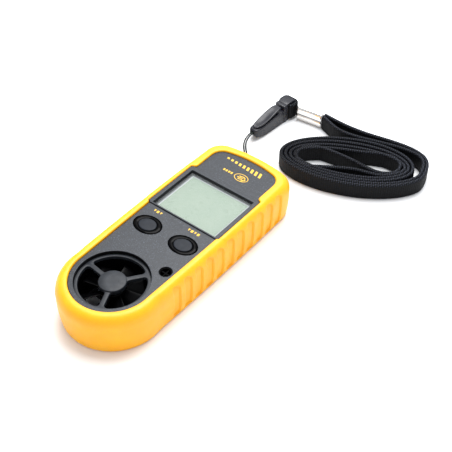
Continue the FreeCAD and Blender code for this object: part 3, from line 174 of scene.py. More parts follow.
def finished(piece, body, slot, *nodes):
    """Give a piece its body and the finish of its slot, and hide the plain parts that it stands for."""
    piece.data.materials.clear()
    piece.data.materials.append(FINISHES[slot])
    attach(piece, body)
    if nodes:
        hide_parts(*nodes)
    return piece


def rounded(corners, radius, steps=5):
    """A closed polygon with each corner rounded."""
    line = []
    count = len(corners)
    for i in range(count):
        before, corner, after = (Vector(corners[j % count]) for j in (i - 1, i, i + 1))
        into, out = (before - corner), (after - corner)
        trim = min(radius, 0.45 * into.length, 0.45 * out.length)
        first, last = corner + into.normalized() * trim, corner + out.normalized() * trim
        for k in range(steps + 1):
            t = k / steps
            line.append(tuple(first * (1 - t) ** 2 + corner * 2 * t * (1 - t) + last * t * t))
    return line


def oblong(half, low, high):
    """Corners of an upright oblong, centred across."""
    return [(-half, low), (half, low), (half, high), (-half, high)]


def prism(name, section, start, end):
    """A straight piece along X with one section."""
    return loft(name, [[(x, y, z) for y, z in section] for x in (start, end)])


# ---- material helpers

def tone(red, green, blue):
    """A screen colour, 0 to 255, as the linear colour that shaders take."""
    linear = [((c / 255 + 0.055) / 1.055) ** 2.4 if c > 10 else c / 255 / 12.92 for c in (red, green, blue)]
    return (*linear, 1)


class Finish:
    """A material: its Principled shader, and short calls for the nodes that feed it."""

    def __init__(self, name, specular=0.5, **sockets):
        self.material = bpy.data.materials.new(name)
        self.material.use_nodes = True
        self.tree = self.material.node_tree
        self.shader = self.tree.nodes["Principled BSDF"]
        self.place = self.add("TexCoord").outputs["Object"]
        self.shader.inputs["Specular IOR Level"].default_value = specular
        for socket, value in sockets.items():
            self.shader.inputs[socket.replace("_", " ")].default_value = value

    def add(self, kind, feeds=None, **settings):
        """A node with its settings; feeds maps an input to a value or to another node's output."""
        made = self.tree.nodes.new("ShaderNode" + kind)
        for key, value in settings.items():
            setattr(made, key, value)
        for key, value in (feeds or {}).items():
            if isinstance(value, bpy.types.NodeSocket):
                self.tree.links.new(value, made.inputs[key])
            else:
                made.inputs[key].default_value = value
        return made

    def feed(self, output, socket):
        """Link an output to one of the shader's sockets."""
        self.tree.links.new(output, self.shader.inputs[socket])

    def noise(self, size_mm, detail=3, stretch=(1, 1, 1)):
        """Noise whose features are about size_mm across."""
        place = self.add("Mapping", {"Vector": self.place, "Scale": stretch}).outputs[0]
        feeds = {"Vector": place, "Scale": 1 / (size_mm * MM), "Detail": detail}
        return self.add("TexNoise", feeds).outputs["Fac"]

    def ramp(self, value, *stops):
        """Colours between stops of (position, colour)."""
        made = self.add("ValToRGB", {"Fac": value})
        strip = made.color_ramp
        while len(strip.elements) < len(stops):
            strip.elements.new(0.5)
        for element, (position, colour) in zip(strip.elements, stops):
            element.position = position
            element.color = colour
        return made.outputs["Color"]

    def math(self, operation, first, second=0.0, third=0.0):
        """One arithmetic step on up to three values."""
        return self.add("Math", {0: first, 1: second, 2: third}, operation=operation).outputs[0]

    def spread(self, value, from_low, from_high, low=0.0, high=1.0):
        """A value carried over from one range to another, held at its ends."""
        feeds = {"Value": value, "From Min": from_low, "From Max": from_high, "To Min": low, "To Max": high}
        return self.add("MapRange", feeds).outputs[0]

    def mixed(self, factor, first, second, blend="MIX"):
        """Two colours blended by a factor."""
        feeds = {"Factor": factor, "A": first, "B": second}
        return self.add("Mix", feeds, data_type="RGBA", blend_type=blend).outputs["Result"]

    def mottle(self, first, last, size_mm):
        """Base colour that wanders between two tones."""
        wander = self.noise(size_mm, 4)
        self.feed(self.ramp(wander, (0.3, tone(*first)), (0.7, tone(*last))), "Base Color")

    def rough(self, low, high, size_mm):
        """Roughness that wanders between two values."""
        self.feed(self.spread(self.noise(size_mm), 0.3, 0.7, low, high), "Roughness")

    def bump(self, height, depth_mm, strength=1.0, under=None):
        """Surface relief from a height of 0 to 1; returns the normal."""
        feeds = {"Height": height, "Distance": depth_mm * MM, "Strength": strength}
        if under:
            feeds["Normal"] = under
        normal = self.add("Bump", feeds).outputs[0]
        self.feed(normal, "Normal")
        return normal


def grained(name, tones, gloss, grain, specular=0.5, **sockets):
    """Plain stuff: tones and gloss that wander between two values, each over its size, and a fine grain.

    The grain is its size, its detail, its depth and its strength.
    """
    finish = Finish(name, specular, **sockets)
    finish.mottle(*tones)
    finish.rough(*gloss)
    size_mm, detail, depth_mm, strength = grain
    finish.bump(finish.noise(size_mm, detail), depth_mm, strength)
    return finish.material


def moulded(name, first, last, low, high, depth_mm=0.01, specular=0.5):
    """Moulded plastic with a spark-eroded grain."""
    return grained(name, (first, last, 2.5), (low, high, 1.2), (0.35, 5, depth_mm, 1.0), specular)


def metal(name, first, last, low, high):
    """Plain metal with a fine brushed grain."""
    return grained(name, (first, last, 0.8), (low, high, 0.3), (0.15, 3, 0.004, 0.6), Metallic=1.0)


# ---- materials

RIB_PITCH = 0.95
ROW_PITCH = 1.3
# The webbing's crown: the band along its upper edge, by its distance round the section, painted lighter as if
# lit from above.
LIT_CROWN_AT = 7.35
LIT_CROWN_HALF = 0.8
FERRULE_HIGH = 7.4
CELL_BORDER = 2.0
EDGE_SOFT = 0.2


def rubber():
    """Yellow silicone rubber: soft sheen, a little light inside it, faint mould grain and dust."""
    finish = Finish("yellow_rubber", specular=0.42, Subsurface_Weight=0.12, Subsurface_Scale=0.0025,
                    Subsurface_Radius=(1.0, 0.55, 0.12))
    patch = finish.ramp(finish.noise(9, 2), (0.3, tone(253, 174, 9)), (0.7, tone(255, 183, 13)))
    speck = finish.ramp(finish.noise(0.5, 4), (0.35, (0.9, 0.88, 0.8, 1)), (0.5, (1, 1, 1, 1)))
    finish.feed(finish.mixed(0.5, patch, speck, "MULTIPLY"), "Base Color")
    finish.rough(0.36, 0.5, 3)
    coarse = finish.bump(finish.noise(1.6, 2), 0.03, 0.5)
    finish.bump(finish.noise(0.22, 3), 0.008, 0.7, coarse)
    return finish.material


def case_plastic():
    """Dark grey moulded case: speckled grain on its faces, with painted shade that turns its steep walls
    nearly black.
    """
    finish = Finish("case_grey", specular=0.34)
    flecks = finish.noise(0.4, 6)
    # Painted shade: where the surface leans away from level, the colour goes over to near-black tone(3, 3,
    # 4), standing in for the shade on the walls of openings and steps.
    facing = finish.add("TexCoord").outputs["Normal"]
    level = finish.math("ABSOLUTE", finish.add("SeparateXYZ", {"Vector": facing}).outputs[2])
    face = finish.spread(level, 0.3, 0.8)
    speckle = finish.ramp(flecks, (0.3, tone(19, 23, 29)), (0.52, tone(31, 36, 43)), (0.62, tone(43, 48, 57)),
                          (0.72, tone(84, 92, 104)))
    # Near-black painted shade on the steep walls, the speckled grain on the faces.
    finish.feed(finish.mixed(face, tone(3, 3, 4), speckle), "Base Color")
    soft_edge = finish.add("Bevel", {"Radius": EDGE_SOFT * MM}, samples=6).outputs[0]
    finish.rough(0.34, 0.44, 0.8)
    finish.bump(finish.noise(0.28, 5), 0.03, 0.9, soft_edge)
    return finish.material


def webbing():
    """Black braided webbing; the mesh holds the braid's ribs, and this adds its yarns and lint, painted
    highlights on the rib tops with painted shade between them, and a lighter painted band along the top edge
    as if lit from above.
    """
    finish = Finish("black_webbing", specular=0.12, Sheen_Weight=0.02, Sheen_Roughness=0.5,
                    Sheen_Tint=tone(110, 112, 124))
    weave = finish.add("UVMap", uv_map="weave").outputs[0]
    along = finish.add("SeparateXYZ", {"Vector": weave})
    rib = finish.math("PINGPONG", along.outputs[0], RIB_PITCH / 2 * MM)
    rib = finish.math("MULTIPLY", rib, 2 / (RIB_PITCH * MM))
    slant = finish.math("MULTIPLY_ADD", along.outputs[0], 0.5, along.outputs[1])
    row = finish.math("PINGPONG", slant, ROW_PITCH / 2 * MM)
    row = finish.math("MULTIPLY", row, 2 / (ROW_PITCH * MM))
    height = finish.math("MULTIPLY", rib, finish.math("MULTIPLY_ADD", row, 0.5, 0.5))
    lint = finish.noise(0.15, 4)
    # Painted light: the crown band along the upper edge takes lighter tones than the side faces, as if lit
    # from above.
    off_crown = finish.math("ABSOLUTE", finish.math("SUBTRACT", along.outputs[1], LIT_CROWN_AT * MM))
    lit_crown = finish.spread(off_crown, LIT_CROWN_HALF * MM, 2 * LIT_CROWN_HALF * MM, 1.0, 0.0)
    # Painted highlights and shade: rib tops are painted lighter and the hollows between them black, with a
    # little lint noise.
    rib_highlight_and_lint = finish.math("MULTIPLY_ADD", height, 0.7, finish.math("MULTIPLY", lint, 0.3))
    face = finish.ramp(rib_highlight_and_lint, (0.2, tone(0, 0, 0)), (0.45, tone(1, 1, 2)), (0.75, tone(18, 20, 26)))
    edge = finish.ramp(rib_highlight_and_lint, (0.25, tone(0, 0, 0)), (0.45, tone(7, 8, 11)), (0.72, tone(60, 64, 76)))
    finish.feed(finish.mixed(lit_crown, face, edge), "Base Color")
    finish.rough(0.5, 0.7, 0.5)
    finish.bump(height, 0.06, 0.8, finish.bump(lint, 0.03, 0.5))
    return finish.material


def clip_plastic():
    """Slate acetal of the quick release: smooth, slightly glossy, with faint flow and scuffs."""
    finish = Finish("clip_slate", specular=0.32)
    finish.mottle((17, 18, 26), (25, 26, 36), 1.6)
    scuff = finish.noise(0.5, 6, stretch=(1, 4, 1))
    finish.feed(finish.spread(scuff, 0.35, 0.65, 0.2, 0.4), "Roughness")
    finish.bump(finish.noise(0.8, 3), 0.012, 0.6)
    return finish.material


def chrome():
    """Bright plated steel of the ferrule, with fine drawing marks along it and painted shade in the crease
    along its middle.
    """
    finish = Finish("bright_plate", Metallic=1.0)
    height = finish.add("SeparateXYZ", {"Vector": finish.place}).outputs[2]
    # Painted shade in the crease: the plate's colour darkens towards mid height, standing in for the dark
    # reflection there, with a random mottle added.
    apart = finish.math("ABSOLUTE", finish.math("SUBTRACT", height, FERRULE_HIGH / 2 * MM))
    crease = finish.spread(apart, 0.1 * MM, 0.7 * MM)
    crease_shade_and_mottle = finish.math("MULTIPLY_ADD", crease, 0.8, finish.math("MULTIPLY", finish.noise(3), 0.4))
    plate_tones = (0.1, tone(96, 96, 98)), (0.7, tone(188, 186, 184)), (1.0, tone(232, 229, 226))
    finish.feed(finish.ramp(crease_shade_and_mottle, *plate_tones), "Base Color")
    marks = finish.noise(0.25, 4, stretch=(0.08, 1, 1))
    finish.feed(finish.spread(marks, 0.3, 0.7, 0.06, 0.16), "Roughness")
    finish.bump(marks, 0.004, 0.5)
    return finish.material


def display_cell():
    """Reflective display: light border, pale green field with the cell's fine grain, blank."""
    finish = Finish("display_cell", specular=0.35)
    low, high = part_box("lcd_glass")
    centre, half = (low + high) / 2, (high - low) / 2
    axes = finish.add("SeparateXYZ", {"Vector": finish.place})
    reach = []
    for axis in (0, 1):
        offset = finish.math("ABSOLUTE", finish.math("SUBTRACT", axes.outputs[axis], centre[axis]))
        reach.append(finish.math("SUBTRACT", half[axis], offset))
    inward = finish.math("DIVIDE", finish.math("MINIMUM", *reach), CELL_BORDER * MM)
    line, border, field = tone(166, 171, 173), tone(94, 100, 100), tone(114, 134, 112)
    zones = finish.ramp(inward, (0.34, border), (0.4, line), (0.54, line), (0.62, field))
    grain = finish.noise(0.28, 5)
    speckle = finish.ramp(grain, (0.3, (0.93, 0.93, 0.93, 1)), (0.7, (1, 1, 1, 1)))
    finish.feed(finish.mixed(1.0, zones, speckle, "MULTIPLY"), "Base Color")
    finish.rough(0.25, 0.4, 2)
    finish.bump(grain, 0.002, 0.5)
    return finish.material


FINISHES = {
    "jacket_rubber": rubber(),
    "case_plastic": case_plastic(),
    "guard_plastic": moulded("guard_grey", (28, 31, 36), (38, 42, 48), 0.36, 0.48, specular=0.25),
    "duct_plastic": moulded("duct_black", (0, 0, 1), (2, 2, 3), 0.45, 0.6, specular=0.03),
    "rotor_plastic": moulded("rotor_black", (1, 1, 2), (4, 4, 5), 0.3, 0.42, specular=0.08),
    "key_gloss": moulded("key_black_gloss", (1, 1, 2), (3, 3, 4), 0.05, 0.1, 0.002, 0.05),
    "key_cap": moulded("key_grey_satin", (20, 24, 31), (30, 35, 43), 0.4, 0.5, 0.006, 0.15),
    # Nearly unseen, with faint smears in its gloss.
    "window_clear": grained("window_clear", ((225, 232, 236), (240, 244, 246), 6), (0.12, 0.22, 4),
                            (3, 2, 0.002, 0.2), 0.3, Alpha=0.07),
    "lcd_cell": display_cell(),
    "diffuser": moulded("light_guide", (214, 220, 222), (230, 234, 235), 0.15, 0.3),
    "white_frame": moulded("white_frame", (222, 222, 218), (234, 234, 230), 0.4, 0.55),
    "silicone": moulded("silicone_strip", (196, 150, 150), (210, 166, 166), 0.45, 0.6),
    "board_laminate": moulded("board_green", (18, 84, 44), (26, 100, 54), 0.3, 0.42),
    "chip_epoxy": moulded("chip_epoxy", (15, 15, 16), (24, 24, 25), 0.25, 0.4),
    "component": moulded("component_black", (22, 22, 24), (34, 34, 37), 0.35, 0.5),
    "steel": metal("screw_steel", (168, 168, 170), (190, 190, 192), 0.25, 0.38),
    "spring_metal": metal("contact_nickel", (190, 186, 176), (208, 204, 194), 0.22, 0.34),
    "cell_can": metal("cell_can", (196, 197, 199), (216, 217, 219), 0.16, 0.3),
    "jewel": moulded("bearing_ruby", (150, 24, 44), (176, 34, 58), 0.06, 0.14),
    "magnet": metal("magnet_nickel", (150, 150, 152), (170, 170, 172), 0.3, 0.4),
    "clip_plastic": clip_plastic(),
    "chrome": chrome(),
    "webbing": webbing(),
    "string": grained("string_braid", ((12, 16, 15), (34, 40, 38), 0.35), (0.6, 0.8, 0.4),
                      (0.12, 4, 0.03, 0.7), 0.2),
    # Pad-printed, with pinholes.
    "ink": grained("yellow_ink", ((214, 168, 40), (236, 190, 58), 0.3), (0.4, 0.55, 0.5),
                   (0.1, 3, 0.004, 0.5), 0.4),
}


def dress_nodes():
    """Give every plain part the finish of its slot."""
    for row in frame["record"]["subparts"]:
        shape = NODES[row["node"]].data
        shape.materials.clear()
        shape.materials.append(FINISHES[row["material_slot"]])


# ---- cords

STRING_D = 0.7
STRING_SIDES = 12
STRING_ROUTE = [
    (21.55, -79.5, 4.2), (21.43, -75.35, 4.4), (20.4, -71.2, 4.75), (18.22, -67.2, 5.1), (14.7, -63.3, 5.4),
    (11.0, -59.4, 5.7), (7.6, -54.0, 6.0), (7.55, -48.05, 6.0), (4.45, -48.05, 6.0), (4.5, -54.2, 6.0),
    (9.6, -60.0, 5.7), (14.1, -63.9, 5.4), (17.58, -67.8, 5.1), (19.6, -71.6, 4.75), (20.57, -75.5, 4.4),
    (20.75, -79.6, 4.2),
]
STRAP_WIDE = 7.7
STRAP_THICK = 1.5
STRAP_FLOOR = 0.05
# The outer ply runs well behind the coil; the inner ply fans out to it straight from the ferrule.
OUTER_LEAD = [
    (1.3, -105.0), (-8.0, -104.1), (-20.5, -105.1), (-33.0, -108.0), (-43.5, -108.9), (-51.0, -106.0),
]
INNER_LEAD = [
    (1.3, -103.6), (-3.4, -101.6), (-9.5, -99.6), (-18.0, -100.6), (-28.0, -103.9), (-39.5, -107.0),
    (-48.8, -106.5),
]
COIL_MIDDLE = (-25.85, -86.07)
COIL_TILT = 25.7
TURN_POINTS = 24
# How far each layer lies from the coil's middle, outermost first, towards -X (right), +X (left),
# +Y (front) and -Y (back) of the coil's own axes.
COIL_RIGHT = [30.95, 29.5, 25.2, 23.5, 21.8, 19.5]
COIL_LEFT = [31.1, 29.1, 27.1, 25.0, 22.95]
COIL_FRONT = [14.9, 13.2, 11.5, 9.8, 8.0, 6.0]
COIL_BACK = [14.4, 11.8, 9.2, 6.8, 5.0]
# The bight that joins the plies crosses the coil's middle, in the coil's own axes.
OUTER_BIGHT = [
    (-8.0, 6.3), (-1.5, 5.0), (4.8, 5.6), (12.0, 6.4), (18.8, 7.6), (23.4, 5.0), (24.6, 0.2),
    (22.4, -4.3), (17.4, -6.4), (12.0, -5.2), (5.6, -3.0), (-0.7, 0.0),
]
INNER_BIGHT = [
    (-4.0, -6.9), (-10.0, -7.5), (-15.5, -6.9), (-19.4, -4.0), (-19.9, 0.6), (-17.6, 4.0), (-12.6, 5.2),
    (-7.2, 3.8), (-0.7, 0.0),
]


def centreline(points):
    """Close points along the smooth curve that a route's points steer."""
    data = bpy.data.curves.new("route", "CURVE")
    data.dimensions = "3D"
    data.resolution_u = 10
    spline = data.splines.new("NURBS")
    spline.points.add(len(points) - 1)
    for knot, point in zip(spline.points, points):
        knot.co = (*(Vector(point) * MM), 1)
    spline.order_u = 3
    spline.use_endpoint_u = True
    holder = placed("route", data)
    mesh = bpy.data.meshes.new_from_object(holder)
    line = [v.co / MM for v in mesh.vertices]
    bpy.data.objects.remove(holder)
    bpy.data.meshes.remove(mesh)
    return line


def respaced(line, step):
    """The same line with its points an even step apart, and the distance along it."""
    lengths = [0.0]
    for a, b in zip(line, line[1:]):
        lengths.append(lengths[-1] + (b - a).length)
    count = max(2, round(lengths[-1] / step))
    marks, spot = [], 0
    for i in range(count + 1):
        mark = lengths[-1] * i / count
        while spot < len(line) - 2 and lengths[spot + 1] < mark:
            spot += 1
        span = lengths[spot + 1] - lengths[spot]
        marks.append(line[spot].lerp(line[spot + 1], (mark - lengths[spot]) / span if span else 0))
    return marks, lengths[-1]


def headings(line):
    """Unit direction at each point of a line."""
    last = len(line) - 1
    return [(line[min(i + 1, last)] - line[max(i - 1, 0)]).normalized() for i in range(last + 1)]


def coil_point(angle, right, left, front, back):
    """A point of one layer at an angle round the coil's middle, from its reach on each of four sides."""
    reach = Vector((left if cos(angle) > 0 else right, front if sin(angle) > 0 else back))
    return in_coil(reach.x * cos(angle), reach.y * sin(angle))


def in_coil(x, y):
    """A point given in the coil's own axes."""
    tilt = radians(COIL_TILT)
    return (COIL_MIDDLE[0] + x * cos(tilt) - y * sin(tilt),
            COIL_MIDDLE[1] + x * sin(tilt) + y * cos(tilt), 0)


def between(values, spot):
    """A value between the entries of a list, held at its ends."""
    spot = min(max(spot, 0), len(values) - 1)
    low = min(int(spot), len(values) - 2)
    return values[low] + (values[low + 1] - values[low]) * (spot - low)


def ply_route(lead, layer, first, last, bight):
    """One ply: its lead, turns that step two layers inwards, as the other ply lies between, and its bight.

    Angles start near half a turn, at the coil's right end, and run backwards as the ply winds in.
    """
    points = [(x, y, 0) for x, y in lead]
    count = round((first - last) / (2 * pi) * TURN_POINTS)
    for i in range(count + 1):
        angle = first + (last - first) * i / count
        depth = layer + 2 * (pi - angle) / (2 * pi)
        stray = 0.1 * sin(3.1 * angle + 2 * layer)
        right = between(COIL_RIGHT, depth) + stray
        left = between(COIL_LEFT, depth - 1) + stray
        front = between(COIL_FRONT, depth - 0.5)
        back = between(COIL_BACK, depth - 1.5)
        points.append(coil_point(angle, right, left, front, back))
    return points + [in_coil(x, y) for x, y in bight]


def band_section(wide, thick, sides=9, round_steps=4):
    """Upright section of a strap as (across, up) points, its upper and lower edges fully round."""
    half = thick / 2
    section = [(half, half + (wide - thick) * k / sides) for k in range(sides + 1)]
    for k in range(1, round_steps):
        a = pi * k / round_steps
        section.append((half * cos(a), wide - half + half * sin(a)))
    return section + [(-across, wide - up) for across, up in section]


RIB_HIGH = 0.1
EDGE_HIGH = 0.16
RIBBON_STEP = 0.19


def ribbon(name, line, low):
    """Flat braid standing on edge along a line, with the braid's ribs in its surface and a weave map."""
    line, _ = respaced(line, RIBBON_STEP)
    section = band_section(STRAP_WIDE, STRAP_THICK)
    girth = [0.0]
    for a, b in zip(section, section[1:] + section[:1]):
        girth.append(girth[-1] + dist(a, b))
    rings, run = [], 0.0
    for i, (point, heading) in enumerate(zip(line, headings(line))):
        if i:
            run += (point - line[i - 1]).length
        side = UP.cross(heading).normalized()
        beat = cos(2 * pi * run / RIB_PITCH)
        ring = []
        for across, up in section:
            row = 0.6 + 0.4 * cos(2 * pi * (up / ROW_PITCH + run / RIB_PITCH / 2))
            edge = abs(2 * up / STRAP_WIDE - 1) ** 10
            puff = RIB_HIGH * (1 - edge) * beat * row * (2 * across / STRAP_THICK)
            lift = 0.0
            if up > STRAP_WIDE / 2:
                lift = EDGE_HIGH * edge * (sin(2 * pi * run / RIB_PITCH + 3 * across) - 1)
            ring.append(point + side * (across + puff) + UP * (low + up + lift))
        rings.append(ring)
    piece = loft(name, rings)
    weave = piece.data.uv_layers.new(name="weave")
    count = len(section)
    step = run / (len(rings) - 1)
    for loop in piece.data.loops:
        ring_index, k = divmod(loop.vertex_index, count)
        weave.data[loop.index].uv = (ring_index * step * MM, girth[k] * MM)
    return piece


def strap():
    """Both plies of the wrist strap, from the ferrule to the bight in the middle of the coil."""
    outer = ply_route(OUTER_LEAD, 0, pi - 0.25, -3.3 * pi, OUTER_BIGHT)
    inner = ply_route(INNER_LEAD, 1, pi - 0.15, -2.5 * pi, INNER_BIGHT)
    for name, route in (("strap_outer_ply", outer), ("strap_inner_ply", inner)):
        line = centreline(route)
        piece = ribbon(name, line, STRAP_FLOOR)
        _, length = respaced(line, 1)
        finished(piece, "strap", "webbing", "strap_lead", "strap_coil")


def string():
    """Round braided string from the quick release round the eye's bar and back."""
    line, length = respaced(centreline(STRING_ROUTE), 0.16)
    rings = []
    for i, (point, heading) in enumerate(zip(line, headings(line))):
        side = UP.cross(heading).normalized()
        top = heading.cross(side)
        ring = []
        for k in range(STRING_SIDES):
            a = 2 * pi * k / STRING_SIDES
            braid = cos(3 * a + 0.55 * i) * cos(3 * a - 0.55 * i)
            radius = STRING_D / 2 * (0.96 + 0.07 * braid)
            ring.append(point + side * radius * cos(a) + top * radius * sin(a))
        rings.append(ring)
    piece = finished(loft("lanyard_string", rings), "case", "string", "string_loop")


# ---- outlines

def crossing(c0, r0, c1, r1, side):
    """Where two circles cross, on the chosen side of the line between their centres."""
    line = c1 - c0
    along = (r0 * r0 - r1 * r1 + line.length_squared) / (2 * line.length)
    off = side * sqrt(r0 * r0 - along * along)
    ahead = line.normalized()
    return c0 + ahead * along + Vector((-ahead.y, ahead.x)) * off


def toward(c0, c1):
    """Heading from one point to another."""
    return atan2(c1.y - c0.y, c1.x - c0.x)


def arc(centre, radius, start, end, count, outward=1):
    """Points and outward normals along an arc, its last point left out."""
    line = []
    for i in range(count):
        a = start + (end - start) * i / count
        spoke = Vector((cos(a), sin(a)))
        line.append((Vector(centre) + spoke * radius, spoke * outward))
    return line


# How many points each arc of half an outline has, from the tail's middle round to the nose.
TAIL_POINTS = 22
CORNER_POINTS = 22
SIDE_POINTS = 280
WAIST_POINTS = 16
NOSE_POINTS = 56


def capsule(nose_y, tail_y, nose_r, side_r, half, half_y, waist_r, corner_r, tail_r):
    """Points and normals of an outline of tangent arcs, counter-clockwise from the tail's middle."""
    nose = Vector((0, nose_y))
    tail = Vector((0, tail_y + tail_r))
    side = Vector((half - side_r, half_y))
    waist = crossing(nose, nose_r + waist_r, side, side_r + waist_r, 1)
    corner = crossing(side, side_r - corner_r, tail, tail_r - corner_r, -1)
    turn = 2 * pi
    right = arc(tail, tail_r, -turn / 4, toward(tail, corner), TAIL_POINTS)
    right += arc(corner, corner_r, toward(tail, corner), toward(side, corner), CORNER_POINTS)
    right += arc(side, side_r, toward(side, corner), toward(side, waist), SIDE_POINTS)
    right += arc(waist, waist_r, toward(waist, side) % turn, toward(waist, nose) % turn, WAIST_POINTS, -1)
    right += arc(nose, nose_r, toward(nose, waist), turn / 4, NOSE_POINTS)
    top = (Vector((0, nose_y + nose_r)), Vector((0, 1)))
    left = [(Vector((-p.x, p.y)), Vector((-n.x, n.y))) for p, n in reversed(right[1:])]
    return right + [top] + left


def smooth(value):
    """A soft step from 0 to 1."""
    value = min(max(value, 0), 1)
    return value * value * (3 - 2 * value)


# ---- jacket

boot_low, boot_high = (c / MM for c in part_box("rubber_boot"))
JACKET = {"nose_r": 20.52, "side_r": 1500, "half": boot_high.x, "half_y": -11, "waist_r": 60,
          "corner_r": 8.3, "tail_r": 70}
FACE = {"nose_r": 16, "side_r": 3000, "half": 16.85, "half_y": -41, "waist_r": 60,
        "corner_r": 5.5, "tail_r": 55}
ROTOR_Y = 33.14
FACE_TAIL_Y = -49.06
CREST_IN = 3.5
CREST_HIGH = 4.8
CREST_STEPS = 30
WALL_STEPS = 21
KEEL_STEPS = 6
LIP_STEPS = 5
KEEL_R = 1.4
BELLY_Z = 10.0
BELLY_IN = 1.0
LIP_R = 0.6
# Behind the display the lip laps over the face by this share of its distance from the middle.
TAIL_LAP = 0.08
LAP_Z = 17.1
LAP_RUN = 2.2
LAP_START = 0.4
SHOULDER_Z = 15.6
JACKET_WALL = 2.3
JACKET_FLOOR = 1.2
BACK_RIM = 5.0
BACK_EDGE = 0.3
FRAME_HALF = 17.4
FRAME_SOFT = 0.6
FRAME_TOP_Y = -5.25
FRAME_LOW_Y = -32.05
FLUTE_COUNT = 11
FLUTE_FIRST_Y = -40.05
FLUTE_PITCH = 6.13
FLUTE_WIDE = 3.5
FLUTE_TOP = 16.3
FLUTE_DEEP = 0.7
FLUTE_SOFT = 0.26
FLUTE_FADE = 1.5
EYE_X = 6.0
EYE_Z = 6.0
EYE_WIDE = 5.6
EYE_HIGH = 4.4
EYE_CORNER = 0.8
EYE_DEEP = 4


def flute_depth(y, z):
    """How deep the grip flutes are at a place on the side wall."""
    index = round((y - FLUTE_FIRST_Y) / FLUTE_PITCH)
    if not 0 <= index < FLUTE_COUNT:
        return 0
    across = abs(y - FLUTE_FIRST_Y - index * FLUTE_PITCH)
    above = max(z - (FLUTE_TOP - FLUTE_WIDE / 2), 0)
    edge = FLUTE_WIDE / 2 - hypot(across, above)
    return FLUTE_DEEP * smooth(edge / (2 * FLUTE_SOFT) + 0.5) * smooth(z / FLUTE_FADE)


def drawn_in(z):
    """How far the side wall is drawn in below its belly."""
    return BELLY_IN * (max(BELLY_Z - z, 0) / BELLY_Z) ** 2


def jacket_ring(point, normal, lip):
    """Section of the jacket at one point of its outline, from the crest down, under and up inside."""
    beside = (smooth((lip.y - FRAME_LOW_Y) / FRAME_SOFT + 0.5)
              * smooth((FRAME_TOP_Y - lip.y) / FRAME_SOFT + 0.5))
    widened = abs(lip.x) + (max(abs(lip.x), FRAME_HALF) - abs(lip.x)) * beside
    edge = Vector((copysign(widened, lip.x), lip.y))
    behind = smooth((FRAME_LOW_Y - lip.y) / LAP_RUN + LAP_START)
    lip = Vector((edge.x * (1 - TAIL_LAP * behind), lip.y))
    inward = lip - point
    reach = inward.length
    top = boot_high.z
    ring = []
    for k in range(CREST_STEPS + 1):
        a = pi / 2 * k / CREST_STEPS
        spot = point + inward * (CREST_IN / reach * (1 - sin(a)))
        z = top - CREST_HIGH * (1 - cos(a))
        ring.append((*(spot - normal * flute_depth(point.y, z)), z))
    wall_top = top - CREST_HIGH
    for k in range(1, WALL_STEPS + 1):
        z = wall_top + (KEEL_R - wall_top) * k / WALL_STEPS
        ring.append((*(point - normal * (drawn_in(z) + flute_depth(point.y, z))), z))
    for k in range(1, KEEL_STEPS + 1):
        a = pi / 2 * k / KEEL_STEPS
        deep = drawn_in(KEEL_R) + KEEL_R * (1 - cos(a))
        ring.append((*(point - normal * deep), KEEL_R * (1 - sin(a))))
    for deep, z in ((BACK_RIM - BACK_EDGE, 0), (BACK_RIM, BACK_EDGE), (BACK_RIM, JACKET_FLOOR),
                    (JACKET_WALL, JACKET_FLOOR), (JACKET_WALL, SHOULDER_Z)):
        ring.append((*(point - normal * deep), z))
    ring += [(*edge, SHOULDER_Z), (*edge, LAP_Z - 0.01), (*lip, LAP_Z)]
    for k in range(LIP_STEPS + 1):
        a = pi / 2 * k / LIP_STEPS
        spot = lip - inward * (LIP_R / reach * (1 - cos(a)))
        ring.append((*spot, top - LIP_R * (1 - sin(a))))
    return ring


def boot():
    """Rubber jacket with its rolled crest, grip flutes and the hole in front of the lanyard eye."""
    outline = capsule(boot_high.y - JACKET["nose_r"], boot_low.y, **JACKET)
    lip = capsule(ROTOR_Y, FACE_TAIL_Y, **FACE)
    rings = [jacket_ring(point, normal, inner) for (point, normal), (inner, _) in zip(outline, lip)]
    piece = loft("jacket", rings, closed=True)
    hole = rounded(oblong(EYE_WIDE / 2, -EYE_HIGH / 2, EYE_HIGH / 2), EYE_CORNER)
    ends = (boot_low.y - 3, boot_low.y + EYE_DEEP)
    carved(piece, loft("eye_tool", [[(EYE_X + x, y, EYE_Z + z) for x, z in hole] for y in ends]))
    finished(sharpened(piece, 40), "case", "jacket_rubber", "rubber_boot")


# ---- keys

KEY_X = 8.75
KEY_Y = 4.49
KEY_RX = 5.98
KEY_RY = 4.53
OVAL_SLOPE = 0.67
# Levels from the foot up: (half width, half length, height) of the foot, then (half width, height).
KEY_FOOT = [(1.5, 1.5, 14.2), (1.5, 1.5, 14.8), (5.5, 5.35, 14.8), (5.5, 5.35, 15.5)]
KEY_SHOULDER = [
    (KEY_RX, 15.5), (KEY_RX, 16.5), (5.93, 16.78), (5.75, 16.98), (5.45, 17.12), (5.0, 17.19),
    (4.6, 17.19), (4.25, 17.12), (3.95, 17.0), (3.82, 16.9),
]
CAP_LEVELS = [
    (3.75, 16.93), (3.75, 17.14), (3.7, 17.22), (3.58, 17.28), (3.3, 17.31), (2.2, 17.33), (1.0, 17.34),
]


def stack(name, centre, levels, sides=64):
    """A solid through level ovals of (half width, half length, height)."""
    rings = []
    for rx, ry, z in levels:
        rings.append([(centre[0] + rx * cos(2 * pi * k / sides),
                       centre[1] + ry * sin(2 * pi * k / sides), z) for k in range(sides)])
    return sharpened(loft(name, rings), 50)


def oval_level(rx, z):
    """A level of a key: the narrower it is, the rounder."""
    return rx, KEY_RY - OVAL_SLOPE * (KEY_RX - rx), z


